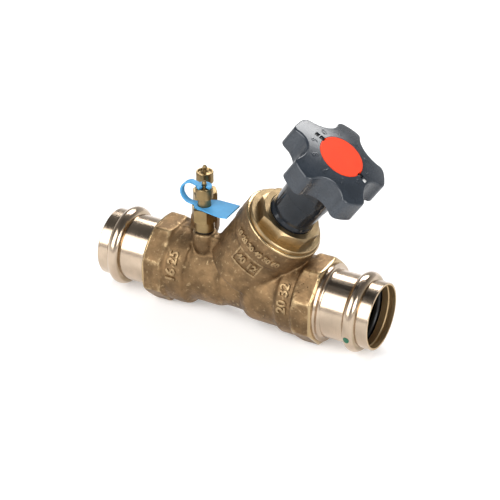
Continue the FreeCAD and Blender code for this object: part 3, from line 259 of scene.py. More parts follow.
class ValveStudio(bpy.types.PropertyGroup):
    """The camera's place and the lamps' strength."""

    azimuth: FloatProperty(
        name="Camera azimuth", description="Camera's turn from the front, about the vertical",
        subtype="ANGLE", default=math.radians(28.46))
    elevation: FloatProperty(
        name="Camera elevation", description="Camera's angle above the floor",
        subtype="ANGLE", default=math.radians(31.26))
    distance: FloatProperty(
        name="Camera distance", description="Distance from the camera to the view's centre",
        unit="LENGTH", default=1.4, min=0.3)
    lens: FloatProperty(
        name="Lens", description="Focal length in millimetres",
        default=154.2, min=10)
    aim_right: FloatProperty(
        name="Aim right", description="View centre to the right of the run's middle",
        unit="LENGTH", default=0.00761)
    aim_up: FloatProperty(
        name="Aim up", description="View centre above the run's middle",
        unit="LENGTH", default=0.01675)
    lamp_power: FloatProperty(
        name="Lamp power", description="Power of the largest lamp",
        unit="POWER", default=16.0, min=0)


# Shader maths

class Value:
    """A shader socket whose Python arithmetic becomes Math nodes."""

    def __init__(self, finish, socket):
        self.finish = finish
        self.socket = socket

    def worked(self, operation, *others):
        """What a Math node makes of this value and the others."""
        sockets = dict(enumerate((self,) + others))
        return self.finish.node("ShaderNodeMath", {"operation": operation}, sockets)

    def __add__(self, other):
        return self.worked("ADD", other)

    __radd__ = __add__

    def __sub__(self, other):
        return self.worked("SUBTRACT", other)

    def __rsub__(self, other):
        return self.worked("MULTIPLY", -1.0) + other

    def __mul__(self, other):
        return self.worked("MULTIPLY", other)

    __rmul__ = __mul__

    def above(self, limit):
        return self.worked("GREATER_THAN", limit)

    def below(self, limit):
        return self.worked("LESS_THAN", limit)

    def either(self, other):
        return self.worked("MAXIMUM", other)

    def unsigned(self):
        return self.worked("ABSOLUTE")

    def root(self):
        return self.worked("SQRT")

    def sine(self):
        return self.worked("SINE")

    def ramp(self, low, high):
        """0 below low, 1 above high, and smooth between them."""
        settings = {"interpolation_type": "SMOOTHSTEP"}
        return self.finish.node("ShaderNodeMapRange", settings, {0: self, 1: low, 2: high})


def distance_from_axis(first, second):
    """Distance from an axis, out of the two coordinates across it."""
    return (first * first + second * second).root()


class Finish:
    """A procedural material under construction."""

    def __init__(self, name):
        self.material = bpy.data.materials.new(FINISH_PREFIX + name)
        self.material.use_nodes = True
        self.tree = self.material.node_tree
        self.tree.nodes.clear()

    def node(self, kind, settings, sockets, output=0):
        """Adds a node: its settings first, then a value or a link for each socket."""
        made = self.tree.nodes.new(kind)
        for name, value in settings.items():
            setattr(made, name, value)
        for key, value in sockets.items():
            if isinstance(value, Value):
                self.tree.links.new(value.socket, made.inputs[key])
            else:
                made.inputs[key].default_value = value
        return Value(self, made.outputs[output]) if made.outputs else None

    def place(self):
        return self.node("ShaderNodeTexCoord", {}, {}, "Object")

    def branch_place(self):
        """Object coordinates in the branch's own axes."""
        sockets = {"Vector": self.place(), "Location": BRANCH_FOOT, "Rotation": (0, BRANCH_LEAN, 0)}
        return self.node("ShaderNodeMapping", {"vector_type": "TEXTURE"}, sockets)

    def axis(self, place, letter):
        return self.node("ShaderNodeSeparateXYZ", {}, {0: place}, letter)

    def stretched(self, place, scale):
        return self.node("ShaderNodeMapping", {}, {"Vector": place, "Scale": scale})

    def noise(self, place, size, detail=2.0, roughness=0.5):
        """Cloudy noise from 0 to 1 whose spots are about size metres across."""
        sockets = {"Vector": place, "Scale": 1 / size, "Detail": detail, "Roughness": roughness}
        return self.node("ShaderNodeTexNoise", {}, sockets)

    def cells(self, place, size):
        """Distance to the nearest of scattered points about size metres apart."""
        return self.node("ShaderNodeTexVoronoi", {}, {"Vector": place, "Scale": 1 / size})

    def mix(self, factor, first, second):
        sockets = {0: factor, 6: full(first), 7: full(second)}
        return self.node("ShaderNodeMix", {"data_type": "RGBA"}, sockets, 2)

    def two_tone(self, mask, colour, dark, pale):
        """A colour that goes from its dark share to its pale share as the mask does."""
        return self.mix(mask, toned(colour, dark), toned(colour, pale))

    def bump(self, height, distance, strength):
        sockets = {"Height": height, "Distance": distance, "Strength": strength}
        return self.node("ShaderNodeBump", {}, sockets)

    def shade(self, **sockets):
        """Ends the material in a Principled shader and returns it."""
        named = {}
        for name, value in sockets.items():
            named[name.replace("_", " ").title().replace("Ior", "IOR")] = value
        shader = self.node("ShaderNodeBsdfPrincipled", {}, named)
        self.node("ShaderNodeOutputMaterial", {}, {"Surface": shader})
        return self.material


def full(colour):
    """A colour with its alpha, or a link as it is."""
    return colour if isinstance(colour, Value) else (*colour[:3], 1.0)


def toned(colour, factor):
    return tuple(min(1.0, channel * factor) for channel in colour[:3])


# Finishes

def cast_bronze(colours, sizes):
    """Sand-cast bronze: grainy, browned and mottled, with its faced ends turned bright."""
    finish = Finish("cast_bronze")
    place = finish.place()
    along_run = finish.axis(place, "X")
    along_branch = finish.axis(finish.branch_place(), "Z")
    faced = along_run.above(OUTLET_CHAMFER).either(along_run.below(INLET_CHAMFER))
    faced = faced.either(along_branch.above(NECK_RIM))
    wear = finish.node("ShaderNodeAttribute", {"attribute_name": WEAR}, {}, "Fac")
    edges = wear.ramp(low=1.5, high=4.5)
    dents = (wear * -1.0).ramp(low=0.9, high=4.0)
    grain = finish.noise(place, size=sizes.grain, detail=4.0, roughness=0.62)
    lumps = finish.noise(place, size=0.0032, detail=3.0, roughness=0.6)
    mottle = finish.noise(place, size=0.009, detail=4.0, roughness=0.65)
    stain = finish.noise(place, size=0.026, detail=3.0, roughness=0.6)
    drawn_out = finish.stretched(place, (1, 0.35, 0.8))
    scuffs = finish.noise(drawn_out, size=0.0024, detail=4.0, roughness=0.7)
    pits = 1 - finish.cells(place, size=0.0042).ramp(low=0.06, high=0.18)
    pits = pits * lumps.ramp(low=0.46, high=0.54)
    rubbed = edges * scuffs.ramp(low=0.36, high=0.56)
    colour = finish.two_tone(mottle.ramp(low=0.34, high=0.66), colours.cast, dark=0.72, pale=1.30)
    colour = finish.mix(stain.ramp(low=0.48, high=0.68) * 0.45, colour, toned(colours.cast, 0.52))
    colour = finish.mix(scuffs.ramp(low=0.57, high=0.68) * 0.65, colour, colours.machined)
    colour = finish.mix(rubbed * 0.9, colour, toned(colours.machined, 1.1))
    colour = finish.mix(dents * 0.55, colour, toned(colours.cast, 0.45))
    colour = finish.mix(pits * 0.7, colour, toned(colours.cast, 0.35))
    colour = finish.mix(faced, colour, colours.machined)
    relief = (grain * 0.5 + lumps * 1.1 + scuffs * 0.5 - pits * 0.9) * (1 - faced)
    rough_as_cast = 0.36 + mottle * 0.16 + grain * 0.14 - edges * 0.10
    return finish.shade(
        base_color=colour, metallic=0.92,
        roughness=rough_as_cast * (1 - faced) + faced * 0.26,
        normal=finish.bump(relief, distance=sizes.grain_depth, strength=0.85))


def turned_metal(name, colour, roughness, pitch, place_of):
    """Metal turned on a lathe: fine rings about the part's own axis."""
    finish = Finish(name)
    place = place_of(finish)
    radius = distance_from_axis(finish.axis(place, "X"), finish.axis(place, "Y"))
    rings = ((radius + finish.axis(place, "Z")) * (2 * math.pi / pitch)).sine()
    tarnish = finish.noise(place, size=0.006, detail=3.0)
    tone = finish.two_tone(tarnish.ramp(low=0.35, high=0.70), colour, dark=0.84, pale=1.12)
    return finish.shade(
        base_color=tone, metallic=1.0, roughness=tarnish * 0.12 + roughness,
        normal=finish.bump(rings, distance=0.000004, strength=0.5))


def polished_bronze(colours):
    """The press ends' bright bronze: fine lines, tarnish beside the bead and a duller socket."""
    finish = Finish("polished_bronze")
    place = finish.place()
    radius = distance_from_axis(finish.axis(place, "Y"), finish.axis(place, "Z"))
    inside = radius.below(SOCKET_RADIUS)
    round_run = finish.stretched(place, (1, 0.04, 0.04))
    lines = finish.noise(round_run, size=0.0007, detail=3.0, roughness=0.6)
    cloud = finish.noise(place, size=0.012, detail=3.0)
    from_bead = (finish.axis(place, "X") - RUN_MIDDLE).unsigned() - (OUTLET_BEAD - RUN_MIDDLE)
    from_flank = (from_bead.unsigned() - BEAD_FLANK).unsigned()
    tarnish = (1 - from_flank.ramp(low=0.0002, high=0.0011)) * cloud.ramp(low=0.25, high=0.60)
    tone = finish.two_tone(cloud.ramp(low=0.35, high=0.70), colours.polished, dark=0.92, pale=1.08)
    tone = finish.mix(lines.ramp(low=0.56, high=0.72) * 0.30, tone, toned(colours.polished, 0.70))
    tone = finish.mix(tarnish * 0.75, tone, toned(colours.machined, 0.62))
    # The socket's inside: browner turned bronze, lightened above its own tone as painted light
    tone = finish.mix(inside, tone, toned(colours.machined, 1.15))
    return finish.shade(
        base_color=tone, metallic=1.0,
        roughness=lines * 0.14 + cloud * 0.06 + inside * 0.25 + 0.10,
        normal=finish.bump(lines, distance=FINE_RELIEF, strength=0.5))


def grey_plastic(colours):
    """Moulded plastic with a fine spark-eroded texture and faint sink marks."""
    finish = Finish("grey_plastic")
    place = finish.place()
    texture = finish.noise(place, size=0.00035, detail=2.0)
    sink = finish.noise(place, size=0.012, detail=1.0)
    tone = finish.two_tone(sink.ramp(low=0.3, high=0.7), colours.wheel, dark=0.92, pale=1.15)
    return finish.shade(
        base_color=tone, roughness=texture * 0.08 + sink * 0.06 + 0.20, specular_ior_level=0.62,
        normal=finish.bump(texture + sink * 1.5, distance=FINE_RELIEF, strength=0.4))


def sleeve_plastic(colours):
    """The handwheel's plastic from a polished mould, with faint sink marks, its colour darkened as
    painted shade.
    """
    finish = Finish("sleeve_plastic")
    sink = finish.noise(finish.place(), size=0.012, detail=1.0)
    # Painted shade: the handwheel's colour darkened to 0.36 to 0.50 of itself on the sleeve and hub
    # under the wheel
    tone = finish.two_tone(sink.ramp(low=0.3, high=0.7), colours.wheel, dark=0.36, pale=0.50)
    return finish.shade(
        base_color=tone, roughness=sink * 0.08 + 0.08, specular_ior_level=0.28,
        normal=finish.bump(sink, distance=0.00005, strength=0.4))


def red_plastic(colours):
    """Smooth moulded plastic, a little uneven in its gloss."""
    finish = Finish("red_plastic")
    place = finish.place()
    texture = finish.noise(place, size=0.0005, detail=2.0)
    cloud = finish.noise(place, size=0.008, detail=2.0)
    tone = finish.two_tone(cloud.ramp(low=0.3, high=0.7), colours.disc, dark=0.94, pale=1.04)
    return finish.shade(
        base_color=tone, roughness=cloud * 0.12 + 0.42, specular_ior_level=0.18,
        normal=finish.bump(texture, distance=FINE_RELIEF, strength=0.3))


def blue_plastic(colours):
    """Soft tag plastic, slightly clouded, with a fine matt skin."""
    finish = Finish("blue_plastic")
    place = finish.place()
    skin = finish.noise(place, size=0.0004, detail=2.0)
    cloud = finish.noise(place, size=0.007, detail=2.0)
    tone = finish.two_tone(cloud.ramp(low=0.3, high=0.7), colours.tag, dark=0.94, pale=1.06)
    return finish.shade(
        base_color=tone, roughness=skin * 0.10 + 0.52, specular_ior_level=0.3,
        normal=finish.bump(skin, distance=FINE_RELIEF, strength=0.4))


def dial_plastic(name, dark, pale):
    """Dial plastic with faint speckle between two near tones."""
    finish = Finish(name)
    cloud = finish.noise(finish.place(), size=0.004, detail=2.0)
    return finish.shade(
        base_color=finish.mix(cloud, dark, pale), roughness=cloud * 0.15 + 0.40)


def seal_rubber():
    """Black moulded rubber with a faint bloom."""
    finish = Finish("seal_rubber")
    place = finish.place()
    bloom = finish.noise(place, size=0.003, detail=3.0)
    skin = finish.noise(place, size=0.0004)
    tone = finish.mix(bloom.ramp(low=0.45, high=0.75), (0.009, 0.009, 0.009), (0.022, 0.022, 0.022))
    return finish.shade(
        base_color=tone, roughness=bloom * 0.15 + 0.30,
        normal=finish.bump(skin, distance=FINE_RELIEF, strength=0.4))


def clip_steel():
    """Spring steel with rolling lines."""
    finish = Finish("clip_steel")
    rolled = finish.stretched(finish.place(), (1, 0.1, 1))
    lines = finish.noise(rolled, size=0.0006, detail=2.0)
    tone = finish.mix(lines, (0.40, 0.40, 0.41), (0.58, 0.58, 0.58))
    return finish.shade(base_color=tone, metallic=1.0, roughness=lines * 0.15 + 0.25)


def dot_paint(colours):
    """Stamped paint, a little uneven."""
    finish = Finish("dot_paint")
    cloud = finish.noise(finish.place(), size=0.001)
    tone = finish.two_tone(cloud, colours.dot, dark=0.9, pale=1.2)
    return finish.shade(base_color=tone, roughness=0.35)


def make_finishes(colours, sizes):
    """Every finish of the valve: one for each of the record's slots, and some of the scene's own."""
    return {
        "cast_bronze": cast_bronze(colours, sizes),
        "machined_bronze": turned_metal(
            "machined_bronze", toned(colours.machined, 0.84), roughness=0.26, pitch=0.0006,
            place_of=Finish.branch_place),
        "polished_bronze": polished_bronze(colours),
        "machined_brass": turned_metal(
            "machined_brass", colours.brass, roughness=0.30, pitch=0.0005,
            place_of=Finish.place),
        "grey_plastic": grey_plastic(colours),
        "sleeve_plastic": sleeve_plastic(colours),
        "red_plastic": red_plastic(colours),
        "blue_plastic": blue_plastic(colours),
        "dial_plastic": dial_plastic("dial_plastic", (0.72, 0.72, 0.71), (0.82, 0.82, 0.81)),
        "window_white": dial_plastic("window_white", (0.84, 0.84, 0.83), (0.90, 0.90, 0.89)),
        "window_black": dial_plastic("window_black", (0.006, 0.006, 0.007), (0.014, 0.014, 0.015)),
        "dot_paint": dot_paint(colours),
        "seal_rubber": seal_rubber(),
        "clip_steel": clip_steel(),
    }


# Shared modelling steps

def merged_copy(node):
    """A CAD solid's mesh as a bmesh whose faces share their corners."""
    shape = bmesh.new()
    shape.from_mesh(frame["nodes"][node].data)
    bmesh.ops.remove_doubles(shape, verts=shape.verts, dist=MERGE_DISTANCE)
    return shape


def piece_from(shape, name, slot, body=None, replaced=(), finish=None, sharp=SHARP_ANGLE):
    """Turns a bmesh into a finished piece, which rides on a body if one is given."""
    bmesh.ops.remove_doubles(shape, verts=shape.verts, dist=MERGE_DISTANCE)
    bmesh.ops.recalc_face_normals(shape, faces=shape.faces)
    mesh = bpy.data.meshes.new(name)
    shape.to_mesh(mesh)
    shape.free()
    mesh.materials.append(bpy.data.materials[FINISH_PREFIX + (finish or slot)])
    mesh.shade_smooth()
    mesh.set_sharp_from_angle(angle=sharp)
    piece = bpy.data.objects.new(name, mesh)
    bpy.context.scene.collection.objects.link(piece)
    if body:
        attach(piece, body)
    if replaced:
        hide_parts(*replaced)
    return piece


def raised_text(words, size, depth):
    """Raised lettering, centred on the XY plane, as a bmesh."""
    curve = bpy.data.curves.new(words, "FONT")
    curve.body = words
    curve.size = size
    curve.align_x = "CENTER"
    curve.align_y = "CENTER"
    curve.extrude = depth / 2
    curve.bevel_depth = depth * 0.3
    curve.bevel_resolution = 1
    holder = bpy.data.objects.new(words, curve)
    mesh = bpy.data.meshes.new_from_object(holder)
    shape = bmesh.new()
    shape.from_mesh(mesh)
    bmesh.ops.remove_doubles(shape, verts=shape.verts, dist=TEXT_MERGE_DISTANCE)
    bpy.data.objects.remove(holder)
    bpy.data.curves.remove(curve)
    bpy.data.meshes.remove(mesh)
    return shape


def joined(shapes):
    """One bmesh that holds several."""
    whole = bmesh.new()
    for shape in shapes:
        mesh = bpy.data.meshes.new("part")
        shape.to_mesh(mesh)
        shape.free()
        whole.from_mesh(mesh)
        bpy.data.meshes.remove(mesh)
    return whole


def wrapped(shape, radius, station, angle):
    """Bends a flat shape round Z: its X runs round the cylinder and its Y along it."""
    for vert in shape.verts:
        turn = angle + vert.co.x / radius
        out = radius + vert.co.z
        vert.co = Vector((out * math.cos(turn), out * math.sin(turn), station + vert.co.y))
    return shape


def laid_on_run(shape, foot):
    """Lays a shape made on Z along the run, so that +X of the shape becomes -Z."""
    bmesh.ops.rotate(shape, verts=shape.verts, matrix=Matrix.Rotation(math.pi / 2, 3, "Y"))
    bmesh.ops.translate(shape, verts=shape.verts, vec=(foot, 0, 0))
    return shape


def stood_on_branch(shape):
    bmesh.ops.rotate(shape, verts=shape.verts, matrix=Matrix.Rotation(BRANCH_LEAN, 3, "Y"))
    bmesh.ops.translate(shape, verts=shape.verts, vec=BRANCH_FOOT)
    return shape


def spun(profile, steps):
    """A closed (radius, height) outline turned about Z."""
    shape = bmesh.new()
    verts = [shape.verts.new((r, 0, z)) for r, z in profile]
    for first, last in zip(verts, verts[1:] + verts[:1]):
        shape.edges.new((first, last))
    bmesh.ops.spin(
        shape, geom=shape.verts[:] + shape.edges[:], axis=(0, 0, 1), cent=(0, 0, 0),
        angle=2 * math.pi, steps=steps, use_merge=True)
    bmesh.ops.remove_doubles(shape, verts=shape.verts, dist=MERGE_DISTANCE)
    return shape


def bar_frame(width, height, bar, depth):
    """A flat rectangular frame with sloping sides, lying in the XY plane."""
    shape = bmesh.new()
    bmesh.ops.create_grid(shape, x_segments=12, y_segments=1, size=0.5)
    bmesh.ops.scale(shape, verts=shape.verts, vec=(width, height, 1))
    inner = bmesh.ops.inset_region(
        shape, faces=shape.faces[:], thickness=bar, use_boundary=True, use_even_offset=True)
    rim = set(inner["faces"])
    bmesh.ops.delete(shape, geom=[f for f in shape.faces if f not in rim], context="FACES")
    raised = bmesh.ops.extrude_face_region(shape, geom=shape.faces[:], use_keep_orig=True)
    top = [part for part in raised["geom"] if isinstance(part, bmesh.types.BMVert)]
    bmesh.ops.translate(shape, verts=top, vec=(0, 0, depth))
    return shape


# Operators

class VALVE_OT_finishes(bpy.types.Operator):
    """Makes the finishes and puts them on the CAD solids"""

    bl_idname = "valve.finishes"
    bl_label = "Finishes"

    def execute(self, context):
        scene = context.scene
        finishes = make_finishes(scene.valve_colours, scene.valve_sizes)
        for part in frame["record"]["subparts"]:
            mesh = frame["nodes"][part["node"]].data
            mesh.materials.clear()
            mesh.materials.append(finishes[NODE_FINISHES.get(part["node"], part["material_slot"])])
        return {"FINISHED"}


class VALVE_OT_cast_body(bpy.types.Operator):
    """Casts the body again with filleted creases, softened edges and a sandy skin"""

    bl_idname = "valve.cast_body"
    bl_label = "Cast body"

    def execute(self, context):
        sizes = context.scene.valve_sizes
        mesh = self.remeshed(context, sizes.skin_voxel)
        shape = bmesh.new()
        shape.from_mesh(mesh)
        bpy.data.meshes.remove(mesh)
        rough = [vert for vert in shape.verts if is_cast(vert.co)]
        smoothed(shape, rough, CAST_ROUNDS)
        smoothed(shape, [vert for vert in shape.verts if not is_cast(vert.co)], FACED_ROUNDS)
        shape.normal_update()
        for vert in rough:
            vert.co += vert.normal * self.skin_height(vert.co, sizes)
            vert.co.z = max(vert.co.z, FLOOR_HEIGHT)
        shape.normal_update()
        mark_wear(shape, WEAR_ROUNDS)
        piece_from(
            shape, "cast_body", "cast_bronze", "valve", ("valve_body",), sharp=CASTING_SHARP_ANGLE)
        return {"FINISHED"}

    def remeshed(self, context, voxel):
        """The solid's mesh as even small faces, thinned to the casting's most triangles."""
        shape = merged_copy("valve_body")
        mesh = bpy.data.meshes.new("casting")
        shape.to_mesh(mesh)
        shape.free()
        holder = bpy.data.objects.new("casting", mesh)
        context.scene.collection.objects.link(holder)
        remesh = holder.modifiers.new("remesh", "REMESH")
        remesh.mode = "VOXEL"
        remesh.voxel_size = voxel
        faces = len(holder.evaluated_get(context.evaluated_depsgraph_get()).data.polygons)
        thin = holder.modifiers.new("thin", "DECIMATE")
        thin.ratio = min(1.0, CASTING_TRIANGLES / (2 * faces))
        made = bpy.data.meshes.new_from_object(
            holder.evaluated_get(context.evaluated_depsgraph_get()))
        bpy.data.objects.remove(holder)
        bpy.data.meshes.remove(mesh)
        return made

    def skin_height(self, place, sizes):
        """Slow waves and lumps of the mould, and the ridge where its halves met."""
        waves = noise.noise(place / WAVE_LENGTH) * sizes.skin_waves
        lumps = noise.noise(place / LUMP_LENGTH) * sizes.skin_waves * LUMP_SHARE
        on_top = place.z > RIDGE_LOWEST and place.x < RIDGE_END
        ridge = max(0.0, 1 - abs(place.y) / RIDGE_WIDTH) * sizes.ridge if on_top else 0.0
        return waves + lumps + ridge


def is_cast(place):
    """Whether a spot of the body is left as cast, and not faced on a lathe."""
    if place.x < INLET_CHAMFER or place.x > OUTLET_CHAMFER:
        return False
    height = (Matrix.Rotation(-BRANCH_LEAN, 3, "Y") @ (place - BRANCH_FOOT)).z
    return height < NECK_RIM


def smoothed(shape, verts, rounds):
    for _ in range(rounds):
        bmesh.ops.smooth_vert(
            shape, verts=verts, factor=0.5, use_axis_x=True, use_axis_y=True, use_axis_z=True)


def mark_wear(shape, rounds):
    """Notes how far each vertex stands out of its smoothed surroundings."""
    layer = shape.verts.layers.float.new(WEAR)
    flat = shape.copy()
    smoothed(flat, flat.verts[:], rounds)
    for vert, even in zip(shape.verts, flat.verts):
        vert[layer] = (vert.co - even.co).dot(vert.normal) / WEAR_UNIT
    flat.free()


class VALVE_OT_cast_marks(bpy.types.Operator):
    """Adds the raised frame and the plain numbers cast on the body"""

    bl_idname = "valve.cast_marks"
    bl_label = "Cast marks"

    def execute(self, context):
        depth = context.scene.valve_sizes.mark_height
        bars = bar_frame(width=0.0200, height=0.0125, bar=0.0012, depth=depth)
        number = raised_text("40 12", size=0.0068, depth=2 * depth)
        row = raised_text("10 20 30 40 50 60", size=0.0050, depth=2 * depth)
        neck = joined([
            wrapped(bars, NECK_RADIUS - depth / 4, NECK_FRAME, FRONT),
            wrapped(number, NECK_RADIUS, NECK_FRAME, FRONT),
            wrapped(row, NECK_BAND_RADIUS, NECK_ROW, ROW_TURN),
        ])
        marks = [stood_on_branch(neck)]
        for words, size, band in (("16 25", 0.0092, INLET_BAND), ("20 32", 0.0088, OUTLET_BAND)):
            text = wrapped(turned_text(words, size, depth), BAND_RADIUS, 0.0, BAND_TURN)
            marks.append(laid_on_run(text, band))
        shape = joined(marks)
        layer = shape.verts.layers.float.new(WEAR)
        for vert in shape.verts:
            vert[layer] = MARK_WEAR
        piece_from(shape, "cast_marks", "cast_bronze", "valve")
        return {"FINISHED"}


def turned_text(words, size, depth):
    """Raised lettering that reads round a pipe when it is wrapped on it."""
    shape = raised_text(words, size, 2 * depth)
    bmesh.ops.rotate(shape, verts=shape.verts, matrix=Matrix.Rotation(math.pi, 3, "Z"))
    return shape


class VALVE_OT_wheel_marks(bpy.types.Operator):
    """Adds the faint raised numbers round the handwheel's cover disc"""

    bl_idname = "valve.wheel_marks"
    bl_label = "Wheel numbers"

    def execute(self, context):
        shapes = []
        for index in range(DIGITS):
            digit = raised_text(str(index), size=0.0060, depth=0.00034)
            angle = WINDOW_TURN - math.radians(DIGIT_STEP * (index + 0.5))
            bmesh.ops.rotate(digit, verts=digit.verts, matrix=Matrix.Rotation(-math.pi / 2, 3, "Z"))
            bmesh.ops.translate(digit, verts=digit.verts, vec=(DIGIT_RADIUS, 0, 0))
            bmesh.ops.rotate(digit, verts=digit.verts, matrix=Matrix.Rotation(angle, 3, "Z"))
            shapes.append(digit)
        numbers = joined(shapes)
        for vert in numbers.verts:
            vert.co.z += dome_height(math.hypot(vert.co.x, vert.co.y)) - DIGIT_SINK
        piece_from(stood_on_branch(numbers), "wheel_numbers", "grey_plastic", "spindle")
        return {"FINISHED"}


class VALVE_OT_window_fields(bpy.types.Operator):
    """Sets the position scale's fields in the handwheel's windows, one of them white"""

    bl_idname = "valve.window_fields"
    bl_label = "Window fields"

    def execute(self, context):
        windows = (
            ("outer_white_field", OUTER_WINDOW_RADIUS, WINDOW_TURN + math.pi, "window_white"),
            ("outer_dark_field", OUTER_WINDOW_RADIUS, WINDOW_TURN, "window_black"),
            ("inner_front_field", INNER_WINDOW_RADIUS, WINDOW_TURN + math.pi, "window_black"),
            ("inner_back_field", INNER_WINDOW_RADIUS, WINDOW_TURN, "window_black"),
        )
        for name, radius, angle, finish in windows:
            self.add_field(name, radius, angle, finish)
        return {"FINISHED"}

    def add_field(self, name, radius, angle, finish):
        shape = bmesh.new()
        bmesh.ops.create_cube(shape, size=1.0)
        bmesh.ops.scale(shape, verts=shape.verts, vec=FIELD_SIZE)
        bmesh.ops.bevel(
            shape, geom=shape.edges[:], offset=FIELD_EDGE, offset_type="OFFSET", segments=2,
            profile=0.5, affect="EDGES", material=-1)
        height = dome_height(radius) - FIELD_DEPTH
        bmesh.ops.translate(shape, verts=shape.verts, vec=(radius, 0, height))
        bmesh.ops.rotate(shape, verts=shape.verts, matrix=Matrix.Rotation(angle, 3, "Z"))
        piece_from(stood_on_branch(shape), name, "dial_plastic", "spindle", finish=finish)


def dome_height(radius):
    """Height of the handwheel's crowned top along the branch, at a radius."""
    share = (radius - DISC_RADIUS) / (LOBE_TIP_RADIUS - DISC_RADIUS)
    bow = 4 * share * (1 - share) * WHEEL_BOW
    return WHEEL_CROWN + (WHEEL_RIM - WHEEL_CROWN) * share + bow


class VALVE_OT_port_caps(bpy.types.Operator):
    """Builds the knurled caps of the test ports"""

    bl_idname = "valve.port_caps"
    bl_label = "Port caps"

    def execute(self, context):
        sizes = context.scene.valve_sizes
        for side in ("front", "rear"):
            self.add_cap(side, sizes.knurls, sizes.knurl_depth)
        return {"FINISHED"}

    def add_cap(self, side, knurls, depth):
        node = side + "_cap"
        low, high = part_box(node)
        centre = (low + high) / 2
        skirt = low.z
        outer = (high.x - low.x) / 2
        roof = high.z - CAP_BUTTON[-1][1] - CAP_ROOF
        floor = roof + CAP_ROOF
        rim = floor + CAP_DISH
        profile = [
            (CAP_BORE, skirt), (outer - CAP_FOOT_BEVEL, skirt), (outer, skirt + CAP_EDGE),
            (outer, skirt + KNURL_FOOT), (outer, rim - KNURL_HEAD), (outer, rim - CAP_EDGE),
            (outer - CAP_EDGE, rim), (outer - CAP_RIM_WIDTH, rim), (outer - CAP_DISH_EDGE, floor),
            *((radius, floor + height) for radius, height in CAP_BUTTON),
            (0.0, roof), (CAP_BORE, roof),
        ]
        shape = spun(profile, 2 * knurls)
        for vert in shape.verts:
            reach = math.hypot(vert.co.x, vert.co.y)
            level = skirt + KNURL_MARGIN < vert.co.z < rim - KNURL_MARGIN
            ribbed = level and reach > outer - KNURL_REACH
            column = round(math.atan2(vert.co.y, vert.co.x) / math.pi * knurls)
            if ribbed and column % 2:
                vert.co.x *= 1 - depth / outer
                vert.co.y *= 1 - depth / outer
        bmesh.ops.translate(shape, verts=shape.verts, vec=(centre.x, centre.y, 0))
        piece_from(shape, side + "_knurled_cap", "machined_brass", side + "_cap_shell", (node,))


class VALVE_OT_marking_tag(bpy.types.Operator):
    """Copies the marking tag into a piece of its own that rides on no body"""

    bl_idname = "valve.marking_tag"
    bl_label = "Marking tag"

    def execute(self, context):
        shape = merged_copy("measuring_tag")
        tag = piece_from(shape, "soft_tag", "blue_plastic", replaced=("measuring_tag",))
        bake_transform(tag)
        return {"FINISHED"}


class VALVE_OT_marking_dot(bpy.types.Operator):
    """Paints the dot on the outlet's seal bead"""

    bl_idname = "valve.marking_dot"
    bl_label = "Marking dot"

    def execute(self, context):
        shape = bmesh.new()
        bmesh.ops.create_circle(shape, cap_ends=True, segments=28, radius=DOT_RADIUS)
        bmesh.ops.poke(shape, faces=shape.faces[:])
        for vert in shape.verts:
            vert.co.x *= DOT_STRETCH
            turn = DOT_TURN - vert.co.x / DOT_BEND
            out = bead_height(vert.co.y) + DOT_LIFT
            vert.co = Vector((OUTLET_BEAD + vert.co.y, out * math.sin(turn), out * math.cos(turn)))
        piece_from(shape, "marking_dot", "polished_bronze", "valve", finish="dot_paint")
        return {"FINISHED"}


def bead_height(offset):
    """Radius of the seal bead's outside, at a distance along the run from its crest."""
    reach = min(abs(offset), BEAD_ARC)
    return BEAD_CREST - BEAD_ARC + math.sqrt(BEAD_ARC * BEAD_ARC - reach ** 2)


